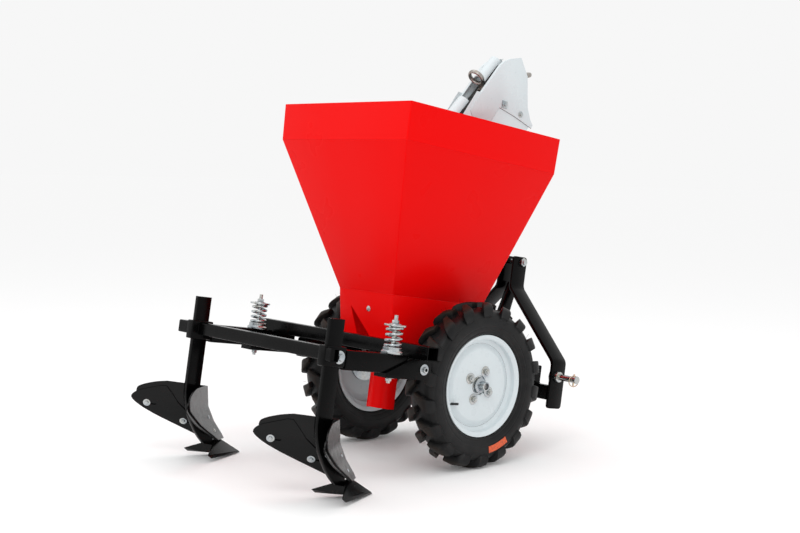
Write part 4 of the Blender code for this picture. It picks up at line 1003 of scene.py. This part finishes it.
# Wheels: a pressed disc and rim in one, sprayed cool white, with a drop centre and a rolled lip.
# The hub behind it is turned steel with four studs, and a set bolt holds the sleeve to the axle.
def eased(profile, share=0.22, steps=3):
    """Rounds every corner of a closed outline by a share of its shorter neighbour."""
    points = []
    for k, here in enumerate(profile):
        before, after = Vector(profile[k - 1]), Vector(profile[(k + 1) % len(profile)])
        here = Vector(here)
        reach = share * min((here - before).length, (after - here).length)
        a = here + (before - here).normalized() * reach
        b = here + (after - here).normalized() * reach
        for j in range(steps + 1):
            t = j / steps
            points.append(a * (1 - t) ** 2 + here * 2 * t * (1 - t) + b * t * t)
    return [tuple(p) for p in points]


RIM = [
    (0.0320, 0.0227), (0.1180, 0.0227), (0.1365, 0.0130), (0.1515, 0.0200), (0.1515, 0.0370),
    (0.1670, 0.0435), (0.1680, 0.0400), (0.1550, 0.0340), (0.1550, 0.0180), (0.1400, 0.0110),
    (0.1400, -0.0120), (0.1550, -0.0180), (0.1550, -0.0340), (0.1680, -0.0400),
    (0.1670, -0.0435), (0.1515, -0.0370), (0.1515, -0.0200), (0.1365, -0.0145),
    (0.1365, 0.0085), (0.1165, 0.0187), (0.0320, 0.0187),
]
for side, tag in SIDES:
    yc = side * TRACK_HALF
    centre = Vector((0, yc, WHEEL_R))
    bm = bmesh.new()
    turned(bm, [(r, side * o) for r, o in eased(RIM, 0.18, 3)], centre, steps=96)
    seat("rim_" + tag, bm, WHITE, "wheel_set", "white_paint", "wheel_rim_" + tag, crease=40)

    # A thin dark ring in the crease between the disc and the well of the rim: painted shade along
    # the disc's edge.
    bm = bmesh.new()
    crease_line = [(0.1362, 0.0126), (0.1372, 0.0136), (0.1380, 0.0140), (0.1370, 0.0126)]
    turned(bm, [(r, side * o) for r, o in crease_line], centre, steps=96)
    seat("rim_dirt_" + tag, bm, RUBBER, "wheel_set", "white_paint")

    bm = bmesh.new()
    hub = [
        (0.0112, -0.0440), (0.0202, -0.0440), (0.0210, -0.0432), (0.0210, 0.0100),
        (0.0632, 0.0100), (0.0640, 0.0108), (0.0640, 0.0184), (0.0262, 0.0184),
        (0.0250, 0.0196), (0.0250, 0.0300), (0.0235, 0.0312), (0.0150, 0.0330),
        (0.0150, 0.0550), (0.0143, 0.0557), (0.0112, 0.0557),
    ]
    turned(bm, [(r, side * o) for r, o in hub], centre, steps=56)
    for k in range(4):
        a = math.radians(24 + 90 * k)
        at = centre + Vector((0.05 * math.sin(a), 0, 0.05 * math.cos(a)))
        out = Vector((0, side, 0))
        rod(bm, at + out * 0.0120, at + out * 0.0380, 0.0058, 20, 0.0010)
        hex_bolt(bm, at + out * 0.0229, out, 0.0187, 0.0092)
        for j in range(3):
            ring = at + out * (0.0345 + 0.0010 * j)
            turned(bm, [(0.0056, 0.0), (0.0061, 0.0003), (0.0056, 0.0006)], ring, (0, side, 0), 20)
    foot = centre + Vector((0.0040, side * 0.0450, -0.0130))
    hex_bolt(bm, foot, (0.004, 0, -0.013), 0.0110, 0.0100, washer=False)
    seat("hub_" + tag, bm, ZINC, "wheel_set", "zinc", "wheel_hub_" + tag)

    bm = bmesh.new()
    spot = centre + Vector((-0.112, 0, -0.067))
    inward = (centre - spot).normalized()
    out = LEFT * side
    root = spot + out * 0.010
    rod(bm, root, root + out * 0.022 + inward * 0.006, 0.0042, 20, 0.0008, 0.0034)
    cap = root + out * 0.021 + inward * 0.0058
    rod(bm, cap, cap + out * 0.010 + inward * 0.0028, 0.0040, 16, 0.0006)
    seat("valve_" + tag, bm, RUBBER, "wheel_set", "tyre")


# Tyres: moulded black rubber with two rows of chevron lugs, stepped sidewall rings and the fine
# whiskers the mould's vents leave. Dust dulls the lugs to brown.
def tyre_rubber():
    f = Finish("tyre_rubber")
    px, pz = f.axis(0) - AXLE_X, f.axis(2) - WHEEL_R
    radius = f.node("ShaderNodeMath", {"operation": "SQRT"}, {0: px * px + pz * pz})
    worn = f.ramp(radius * 3.5, (0.905, 0.0), (0.945, 1.0))
    cloud = f.ramp(f.noise(24.0, 6.0), (0.40, 0.0), (0.70, 1.0))
    base = f.mix(cloud * 0.6, rgb(0.0030, 0.0032, 0.0036), rgb(0.012, 0.0115, 0.011))
    f.set(
        Base_Color=f.mix(worn * (cloud * 0.5 + 0.35), base, rgb(0.024, 0.015, 0.010)),
        Roughness=f.noise(60.0, 3.0) * 0.22 + worn * 0.10 + 0.32,
        Specular_IOR_Level=0.22,
    )
    return f.bump(f.noise(420.0, 2.0) * 0.5 + f.noise(60.0, 3.0) * 0.5, 0.18, 0.0008)


TYRE = tyre_rubber()
CARCASS = [
    (0.1553, 0.0335), (0.1684, 0.0394), (0.1710, 0.0450), (0.1760, 0.0478), (0.1790, 0.0470),
    (0.1830, 0.0492), (0.1940, 0.0522), (0.1960, 0.0516), (0.1985, 0.0530), (0.2120, 0.0539),
    (0.2230, 0.0532), (0.2300, 0.0510), (0.2320, 0.0512), (0.2370, 0.0480), (0.2440, 0.0420),
    (0.2500, 0.0300), (0.2535, 0.0150),
]
INNER = [(0.2470, 0.0120), (0.2380, 0.0360), (0.2050, 0.0450), (0.1640, 0.0240), (0.1553, 0.0200)]
LUGS, LUG_MEAN_R = 18, 0.265


def loft(bm, rings):
    """A closed solid through rings of points, capped at both ends."""
    rows = []
    for ring in rings:
        made = [bm.verts.new(p) for p in ring]
        rows.append([bm.edges.new((made[k - 1], made[k])) for k in range(len(made))])
        if ring is rings[0] or ring is rings[-1]:
            bm.faces.new(made)
    for low, high in zip(rows, rows[1:]):
        bmesh.ops.bridge_loops(bm, edges=low + high)


# One lug as (offset from the crown, trailing angle, tip radius, half width, root offset, root).
LUG = [
    (0.0005, 0.000, 0.2712, 0.0105, 0.0005, 0.2500), (0.0110, 0.030, 0.2719, 0.0120, 0.0105, 0.2490),
    (0.0220, 0.058, 0.2716, 0.0150, 0.0205, 0.2480), (0.0320, 0.084, 0.2704, 0.0180, 0.0290, 0.2470),
    (0.0410, 0.106, 0.2678, 0.0205, 0.0350, 0.2440), (0.0485, 0.124, 0.2630, 0.0222, 0.0400, 0.2400),
    (0.0535, 0.136, 0.2555, 0.0228, 0.0420, 0.2340), (0.0560, 0.144, 0.2420, 0.0215, 0.0440, 0.2260),
    (0.0556, 0.148, 0.2310, 0.0180, 0.0440, 0.2200),
]
for side, tag in SIDES:
    yc = side * TRACK_HALF
    centre = Vector((0, yc, WHEEL_R))
    bm = bmesh.new()
    half = CARCASS + [(0.2538, 0.0)]
    outer = half + [(r, -o) for r, o in CARCASS[::-1]]
    inner = [(r, -o) for r, o in INNER[::-1]] + INNER
    turned(bm, eased(outer + inner, 0.3, 2), centre, steps=108)
    step = 2 * math.pi / LUGS
    for hand in (1, -1):
        for k in range(LUGS):
            a0 = step * (k + (0.5 if hand > 0 else 0.0))
            rings = []
            for o, trail, tip, width, o_root, r_root in LUG:
                ring = []
                flank = [
                    (r_root, o_root, 1.20), (tip - 0.0030, o, 1.0), (tip - 0.0008, o * 0.992, 0.90),
                    (tip, o * 0.985, 0.72),
                ]
                for r, off, across in [(r, q, -w) for r, q, w in flank] + flank[::-1]:
                    a = a0 - trail + across * width / LUG_MEAN_R
                    ring.append((r * math.sin(a), yc + hand * off, WHEEL_R + r * math.cos(a)))
                rings.append(ring)
            loft(bm, rings)
    rng = random.Random(7)
    for k in range(90):
        a = rng.uniform(-1.9, 1.9)
        if k % 3:
            r, off, way = rng.uniform(0.1850, 0.2250), side * 0.0520, Vector((0, side, 0))
            long = 0.0045
        else:
            r, off, long = 0.2600, rng.uniform(-0.045, 0.045), rng.uniform(0.012, 0.021)
            way = Vector((math.sin(a), 0, math.cos(a)))
        at = centre + Vector((r * math.sin(a), off, r * math.cos(a)))
        stray = any_way(rng) * 0.30
        rod(bm, at, at + (way + stray) * long, 0.0004, 5, 0.0)
    seat("tyre_tread_" + tag, bm, TYRE, "wheel_set", "tyre", "tyre_" + tag, crease=38)


# Patch: a plain printed label on the right tyre's wall, a scuffed orange.
def patch_print():
    f = Finish("patch_print")
    scuff = f.ramp(f.noise(160.0, 6.0), (0.48, 0.0), (0.60, 1.0))
    f.set(
        Base_Color=f.mix(scuff * 0.5, rgb(0.72, 0.10, 0.02), rgb(0.30, 0.06, 0.03)),
        Roughness=f.noise(80.0) * 0.2 + 0.35,
    )
    return f.bump(f.noise(90.0, 2.0), 0.15, 0.0006)


bm = bmesh.new()
PATCH_FROM, PATCH_SWEEP = math.radians(143), math.radians(23)
corners = [(0.2010, -0.0537), (0.2010, -0.0544), (0.2230, -0.0544), (0.2230, -0.0537)]
spoke = Vector((math.sin(PATCH_FROM), 0, math.cos(PATCH_FROM)))
hub_at = Vector((0, -TRACK_HALF, WHEEL_R))
patch = bm.faces.new([bm.verts.new(hub_at + spoke * r + LEFT * o) for r, o in corners])
bmesh.ops.spin(
    bm, geom=[patch], cent=hub_at, axis=LEFT, angle=PATCH_SWEEP, steps=16, use_merge=False
)
seat("tyre_patch", bm, patch_print(), "wheel_set", "tyre")


# Floating frame: two rectangular steel arms hinged under the crossbeam, each with a pressed
# seat ring welded on for its spring, joined behind by a square toolbar through the sockets.
def carve(bm, build):
    """Cuts what build() draws out of a bmesh, and returns what is left."""
    tool = bmesh.new()
    build(tool)
    bmesh.ops.recalc_face_normals(tool, faces=tool.faces)
    bmesh.ops.recalc_face_normals(bm, faces=bm.faces)
    pair = []
    for name, source in (("carved", bm), ("carver", tool)):
        mesh = bpy.data.meshes.new(name)
        source.to_mesh(mesh)
        source.free()
        pair.append(bpy.data.objects.new(name, mesh))
        bpy.context.scene.collection.objects.link(pair[-1])
    cut = pair[0].modifiers.new("cut", "BOOLEAN")
    cut.object, cut.operation, cut.solver = pair[1], "DIFFERENCE", "EXACT"
    graph = bpy.context.evaluated_depsgraph_get()
    done = bpy.data.meshes.new_from_object(pair[0].evaluated_get(graph))
    left = bmesh.new()
    left.from_mesh(done)
    for obj in pair:
        bpy.data.objects.remove(obj)
    return left


def block(bm, x0, x1, y0, y1, z0, z1, radius=0.003):
    """A bar end or forging: a cuboid with all its edges eased."""
    made = set(cuboid(bm, x0, x1, y0, y1, z0, z1))
    round_edges(bm, edges_within(bm, made), radius)


ARM_REAR, ARM_FRONT, ARM_Z0, ARM_Z1 = -0.6397, -0.396, 0.2970, 0.3550
SOCKET_X0, SOCKET_X1, SOCKET_HALF = -0.7200, -0.6400, 0.0165
SHANK_X0, SHANK_X1, SHANK_T, SHANK_PLAY = -0.706, -0.654, 0.018, 0.0004
BAR_Z0, BAR_Z1 = 0.3190, 0.3590
STUB_END = {1: 0.4120, -1: -0.3830}
for side, tag in SIDES:
    yc = side * ARM_Y
    bm = bmesh.new()
    block(bm, ARM_REAR, ARM_FRONT, yc - ARM_HALF, yc + ARM_HALF, ARM_Z0, ARM_Z1, 0.0045)
    bm = carve(bm, lambda t: cuboid(t, -0.4690, -0.4345, yc - 0.0075, yc + 0.0075, 0.25, 0.37))
    tongue = [
        (-0.410, 0.2970), (-0.326, 0.2970), (-0.317, 0.3040), (-0.3150, 0.3160),
        (-0.318, 0.3280), (-0.328, 0.3360), (-0.410, 0.3360),
    ]
    plate_of(bm, tongue, yc - ARM_HALF + 0.0005, yc + ARM_HALF - 0.0005, edge=0.0015)
    for s in (-1, 1):
        y = yc + s * (ARM_HALF - 0.0010)
        weld(bm, (ARM_FRONT - 0.001, y, 0.300), (ARM_FRONT - 0.001, y, 0.334), 0.0024, seed=11)
    for z in (ARM_Z0 + 0.002, ARM_Z1 - 0.002):
        x = ARM_REAR + 0.002
        weld(bm, (x, yc - 0.016, z), (x, yc + 0.016, z), 0.0024, seed=12)
    seat("swing_arm_" + tag, bm, BLACK, "float_frame", "black_paint", "float_arm_" + tag)

    bm = bmesh.new()
    cup = [
        (0.0182, 0.0002), (0.0330, 0.0002), (0.0340, 0.0012), (0.0340, 0.0060),
        (0.0328, 0.0074), (0.0300, 0.0090), (0.0290, 0.0105), (0.0290, 0.0190),
        (0.0280, 0.0200), (0.0182, 0.0200),
    ]
    turned(bm, cup, (SPRING_X, yc, ARM_Z1), UP, 48)
    seat("spring_cup_" + tag, bm, ZINC, "float_frame", "zinc")

    bm = bmesh.new()
    block(bm, SOCKET_X0, SOCKET_X1, yc - SOCKET_HALF, yc + SOCKET_HALF, 0.3040, 0.3640, 0.0035)
    hole = SHANK_T / 2 + SHANK_PLAY
    hole_x = (SHANK_X0 - SHANK_PLAY, SHANK_X1 + SHANK_PLAY)
    bm = carve(bm, lambda t: cuboid(t, *hole_x, yc - hole, yc + hole, 0.25, 0.42))
    stub_y = sorted((yc + side * 0.0150, STUB_END[side]))
    join(bm, square_tube(-0.7180, -0.6860, *stub_y, BAR_Z0, BAR_Z1, 1, deep=0.015))
    seat("shank_box_" + tag, bm, BLACK, "float_frame", "black_paint", "shank_socket_" + tag)
    bm = bmesh.new()
    hex_bolt(bm, (-0.665, yc + side * SOCKET_HALF, 0.333), (0, side, 0), 0.0200, 0.0105)
    seat("clamp_screw_" + tag, bm, ZINC, "float_frame", "zinc")

bar_half = ARM_Y - 0.0168
bm = square_tube(-0.6950, -0.6550, -bar_half, bar_half, BAR_Z0, BAR_Z1, 1, open_ends=False)
for s in (-1, 1):
    weld(bm, (-0.693, s * bar_half, 0.3600), (-0.657, s * bar_half, 0.3600), 0.0024, seed=13)
    weld(bm, (-0.696, s * bar_half, 0.321), (-0.696, s * bar_half, 0.357), 0.0024, seed=14)
seat("tool_bar", bm, BLACK, "float_frame", "black_paint", "rear_toolbar")


# Ridgers: a forged shank swept forward into its foot, a strap that carries the two rolled
# halves of the V mouldboard, and slotted wings bolted behind them. The boards wear to dull steel.
def worn_board(name, tone, shine):
    f = Finish(name)
    scour = f.ramp(f.noise(9.0, 6.0), (0.42, 0.0), (0.68, 1.0))
    low = f.ramp(f.axis(2), (0.02, 1.0), (0.16, 0.0))
    rust = f.ramp(f.noise(75.0, 8.0), (0.60, 0.0), (0.70, 1.0))
    dark = rgb(tone * 0.4, tone * 0.41, tone * 0.43)
    base = f.mix(scour * 0.7, dark, rgb(tone, tone, tone * 1.02))
    f.set(
        Base_Color=f.mix(rust * low * 0.4, base, rgb(0.040, 0.024, 0.016)),
        Metallic=scour * shine,
        Roughness=f.noise(45.0, 5.0) * 0.20 + 0.14,
        Specular_IOR_Level=0.20,
    )
    return f.bump(f.noise(120.0, 4.0) * 0.5 + f.noise(12.0, 2.0), 0.2, 0.0012)


BOARD_SKIN = worn_board("scoured_board", 0.007, 0.12)
WING_SKIN = worn_board("scoured_wing", 0.005, 0.08)
SPREAD = math.radians(42)
NOSE = [(-0.645, 0.165), (-0.630, 0.085), (-0.600, 0.036), (-0.562, -0.006), (-0.552, -0.020)]


def nose_x(z):
    for (xa, za), (xb, zb) in zip(NOSE, NOSE[1:]):
        if zb <= z <= za:
            return xa + (xb - xa) * (z - za) / (zb - za)
    return NOSE[0][0] if z > NOSE[0][1] else NOSE[-1][0]


def on_board(hand, yc, s, z, off):
    """A point s back along one half of the V at a height, off metres ahead of its rear face."""
    return Vector((
        nose_x(z) - s * math.cos(SPREAD) + off * math.sin(SPREAD),
        yc + hand * (s * math.sin(SPREAD) + off * math.cos(SPREAD)),
        z,
    ))


def curve_through(rows, k, t):
    """Eases between rows (height, value, ...) so that an outline has no corners."""
    place = t * (len(rows) - 1)
    i = min(int(place), len(rows) - 2)
    u = place - i
    p = [rows[min(max(i + j, 0), len(rows) - 1)][k] for j in (-1, 0, 1, 2)]
    m0, m1 = (p[2] - p[0]) / 2, (p[3] - p[1]) / 2
    return (
        (2 * u**3 - 3 * u**2 + 1) * p[1] + (u**3 - 2 * u**2 + u) * m0
        + (3 * u**2 - 2 * u**3) * p[2] + (u**3 - u**2) * m1
    )


# Height, then how far back along the half each edge lies.
BOARD = [
    (0.1515, 0.0, 0.118), (0.1440, 0.0, 0.157), (0.1300, 0.0, 0.200), (0.1150, 0.0, 0.220),
    (0.0850, 0.0, 0.214), (0.0360, 0.0, 0.150), (-0.0060, 0.0, 0.080), (-0.0200, 0.0, 0.056),
]
WING = [
    (0.1340, 0.119, 0.136), (0.1200, 0.108, 0.180), (0.1050, 0.097, 0.222),
    (0.0850, 0.084, 0.239), (0.0600, 0.066, 0.220), (0.0360, 0.050, 0.180),
    (-0.0060, 0.022, 0.098), (-0.0200, 0.017, 0.068),
]
BOARD_OFF, BOARD_T = 0.0120, 0.0040
WING_OFF, WING_T = 0.0075, 0.0038
WING_BOLTS = ((0.192, 0.072), (0.092, 0.024))
WING_TRAVEL = 0.025
SMALL_BOLTS = ((0.030, 0.052), (0.042, 0.010))


def bolt_axes(hand, yc, s, z):
    """Middle of the wing plate at a bolt, its slide, cross and normal directions."""
    slope = (nose_x(z + 0.002) - nose_x(z - 0.002)) / 0.004
    back = Vector((-math.cos(SPREAD), hand * math.sin(SPREAD), 0.0))
    normal = back.cross(Vector((slope, 0.0, 1.0))).normalized()
    if normal.x < 0:
        normal = -normal
    middle = on_board(hand, yc, s, z, WING_OFF + WING_T / 2)
    return middle, back, normal.cross(back), normal


def rolled_sheet(bm, hand, yc, rows, off, from_nose):
    """Half a mouldboard, or a wing: a grid laid on the rolled surface."""
    made = bmesh.ops.create_grid(bm, x_segments=20, y_segments=28, size=1.0)["verts"]
    for v in made:
        across, t = (v.co.x + 1) / 2, (v.co.y + 1) / 2
        z = curve_through(rows, 0, t)
        s0 = -off / math.tan(SPREAD) if from_nose else curve_through(rows, 1, t)
        v.co = on_board(hand, yc, s0 + (curve_through(rows, 2, t) - s0) * across, z, off)
    bmesh.ops.recalc_face_normals(bm, faces=bm.faces)


def thicken_behind(bm, wall):
    """Gives a sheet that faces forward its thickness behind."""
    if sum((f.normal.x * f.calc_area() for f in bm.faces), 0.0) < 0:
        bmesh.ops.reverse_faces(bm, faces=bm.faces)
    bmesh.ops.solidify(bm, geom=bm.faces[:], thickness=wall)


for side, tag in SIDES:
    yc = side * ARM_Y
    body = "ridger_" + tag
    bm = bmesh.new()
    shank = [
        (SHANK_X0, 0.4430), (SHANK_X0, 0.1300), (-0.7020, 0.1050), (-0.6945, 0.0800),
        (-0.6850, 0.0550), (-0.6680, 0.0260), (-0.6500, 0.0000), (-0.6310, -0.0215),
        (-0.6100, -0.0400), (-0.5750, -0.0440), (-0.5780, -0.0080), (-0.5950, 0.0100),
        (-0.6130, 0.0300), (-0.6290, 0.0530), (-0.6420, 0.0780), (-0.6500, 0.1040),
        (SHANK_X1, 0.1300), (SHANK_X1, 0.4430),
    ]
    plate_of(bm, shank, yc - SHANK_T / 2, yc + SHANK_T / 2, edge=0.0018)
    straps = []
    for z in (0.1250, 0.1050, 0.0850, 0.0600, 0.0450):
        nose = nose_x(z)
        half = [(nose - 0.0300, 0.0060), (nose - 0.0040, 0.0060)]
        for s, off in ((0.045, 0.0040), (0.045, 0.0115)):
            p = on_board(1, 0.0, s, z, off)
            half.append((p.x, p.y))
        tip = [(nose + 0.0115 / math.sin(SPREAD), 0.0)]
        straps.append([(x, yc + y, z) for x, y in half + tip + [(x, -y) for x, y in half[::-1]]])
    loft(bm, straps)
    for s in (-1, 1):
        y = yc + s * 0.0082
        weld(bm, (-0.648, y, 0.118), (-0.634, y, 0.066), 0.0026, seed=15)
    seat("ridger_leg_" + tag, bm, BLACK, body, "black_paint", "ridger_shank_" + tag)

    bm = bmesh.new()
    for hand in (1, -1):
        half = bmesh.new()
        rolled_sheet(half, hand, yc, BOARD, BOARD_OFF + BOARD_T, True)
        join(bm, half)
    bmesh.ops.remove_doubles(bm, verts=bm.verts, dist=2e-5)
    bmesh.ops.recalc_face_normals(bm, faces=bm.faces)
    thicken_behind(bm, BOARD_T)
    rims = [e for e in bm.edges if e.calc_face_angle(0) > math.radians(65)]
    round_edges(bm, rims, 0.0009, 2)
    seat("board_" + tag, bm, BOARD_SKIN, body, "board_steel", "mouldboard_" + tag, crease=45)

    bm = bmesh.new()
    for hand in (1, -1):
        for s, z in WING_BOLTS:
            middle, _, _, normal = bolt_axes(hand, yc, s, z)
            rod(bm, middle + normal * 0.0038, middle - normal * 0.0100, 0.0040, 20)
            hex_bolt(bm, middle - normal * 0.0021, -normal, 0.0125, 0.0050)
        for s, z in SMALL_BOLTS:
            _, _, _, normal = bolt_axes(hand, yc, s, z)
            back_face = on_board(hand, yc, s, z, BOARD_OFF - 0.0002)
            hex_bolt(bm, back_face, -normal, 0.0110, 0.0050)
            turned(
                bm,
                [(0.0, 0.0), (0.0065, 0.0), (0.0058, 0.0016), (0.0034, 0.0028), (0.0, 0.0032)],
                on_board(hand, yc, s, z, BOARD_OFF + BOARD_T - 0.0004), normal, 20, False,
            )
    seat("board_bolts_" + tag, bm, ZINC, body, "zinc")

    for hand, place in ((side, "outer"), (-side, "inner")):
        bm = bmesh.new()
        rolled_sheet(bm, hand, yc, WING, WING_OFF + WING_T, False)
        thicken_behind(bm, WING_T)

        def slots(t):
            """Round-ended slots that let the wing slide back from its bolts."""
            for s, z in WING_BOLTS:
                middle, back, cross, normal = bolt_axes(hand, yc, s, z)
                rim = bmesh.ops.create_circle(t, cap_ends=True, segments=24, radius=0.0056)
                for v in rim["verts"]:
                    run = 0.0008 if v.co.x > 0 else -WING_TRAVEL - 0.0012
                    v.co = middle - normal * 0.012 + back * (run + v.co.x) + cross * v.co.y
                flat = [f for f in t.faces if len(f.verts) == 24][-1]
                grow(t, [flat], normal * 0.024)

        bm = carve(bm, slots)
        seat(
            "slide_wing_" + tag + "_" + place, bm, WING_SKIN, "wing_" + tag + "_" + place,
            "wing_steel", "wing_" + tag + "_" + place, crease=40,
        )


# Shares: cast points under the nose of each ridger, arrow shaped and scoured to dull dark steel.
def ground_level(x):
    """Height of the soil line, in the machine's own axes, at a distance from the axle."""
    return WHEEL_R * (1 - 1 / math.cos(LEAN)) + x * math.tan(LEAN)


for side, tag in SIDES:
    yc = side * ARM_Y
    low, tip_z = ground_level(-0.618) + 0.0150, ground_level(-0.455)
    spots = {
        "tip": (-0.455, 0, tip_z + 0.0004),
        "crest": (-0.459, 0, tip_z + 0.0060),
        "top": (-0.548, 0, -0.0200),
        "keel": (-0.556, 0, ground_level(-0.556) + 0.0120),
        "back": (-0.564, 0, -0.0240),
        "port": (-0.618, 0.072, low),
        "port_top": (-0.634, 0.072, low + 0.010),
        "star": (-0.618, -0.072, low),
        "star_top": (-0.634, -0.072, low + 0.010),
    }
    bm = bmesh.new()
    v = {key: bm.verts.new((x, yc + y, z)) for key, (x, y, z) in spots.items()}
    for names in (
        "tip keel port", "tip star keel", "tip port crest", "tip crest star", "crest port port_top",
        "crest port_top top", "crest star_top star", "crest top star_top", "port keel port_top",
        "keel back port_top", "star star_top keel", "keel star_top back", "top port_top back",
        "top back star_top",
    ):
        bm.faces.new([v[key] for key in names.split()])
    bmesh.ops.recalc_face_normals(bm, faces=bm.faces)
    round_edges(bm, bm.edges[:], 0.0006, 2)
    seat("share_point_" + tag, bm, BOARD_SKIN, "ridger_" + tag, "black_paint", "share_" + tag)


# Setting: a plain pale floor and soft even studio light.
floor = bmesh.new()
bmesh.ops.create_circle(floor, cap_ends=True, segments=96, radius=60.0)
paper = Finish("floor_paper")
paper.set(
    Base_Color=rgb(0.965, 0.965, 0.965), Roughness=paper.noise(0.6) * 0.1 + 0.88,
    Specular_IOR_Level=0.0, Emission_Color=rgb(1.0, 1.0, 1.0), Emission_Strength=0.035,
)
mesh = bpy.data.meshes.new("floor")
floor.to_mesh(mesh)
floor.free()
mesh.materials.append(paper.material)
ground = bpy.data.objects.new("floor", mesh)
ground.location.z = cad_low.z - 0.0005
bpy.context.scene.collection.objects.link(ground)
ground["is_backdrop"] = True

scene = bpy.context.scene
scene.view_settings.view_transform = "Standard"
sky = bpy.data.worlds.new("studio")
sky.use_nodes = True
sky.node_tree.nodes["Background"].inputs["Color"].default_value = rgb(1.0, 1.0, 1.0)
sky.node_tree.nodes["Background"].inputs["Strength"].default_value = 0.93
scene.world = sky
for name, place, size, power in (
    ("key", (-2.6, -2.2, 3.6), 2.2, 46.0),
    ("fill", (-3.4, 2.6, 2.2), 2.4, 10.0),
    ("top", (0.3, 0.2, 4.2), 3.0, 26.0),
):
    lamp = bpy.data.lights.new(name, "AREA")
    lamp.shape, lamp.size, lamp.energy = "DISK", size, power
    light = bpy.data.objects.new(name, lamp)
    aim = Vector((0, 0, 0.6)) - Vector(place)
    turn = aim.to_track_quat("-Z", "Y").to_matrix().to_4x4()
    light.matrix_world = Matrix.Translation(place) @ turn
    scene.collection.objects.link(light)

azimuth, pitch, roll = math.radians(47.8146), math.radians(0.9219), math.radians(7.3799)
level = math.cos(pitch)
ahead = Vector((math.cos(azimuth) * level, math.sin(azimuth) * level, math.sin(pitch)))
right = ahead.cross(UP).normalized()
up = right.cross(ahead)
right, up = (
    right * math.cos(roll) + up * math.sin(roll), up * math.cos(roll) - right * math.sin(roll)
)
lens = bpy.data.cameras.new("camera")
lens.lens, lens.sensor_width = 58.553, 36.0
eye = bpy.data.objects.new("camera", lens)
eye_place = Matrix.Translation((-3.0853, -3.2398, 0.5552))
eye.matrix_world = LEANED @ eye_place @ axes(right, up, -ahead)
scene.collection.objects.link(eye)
scene.camera = eye

low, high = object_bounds()
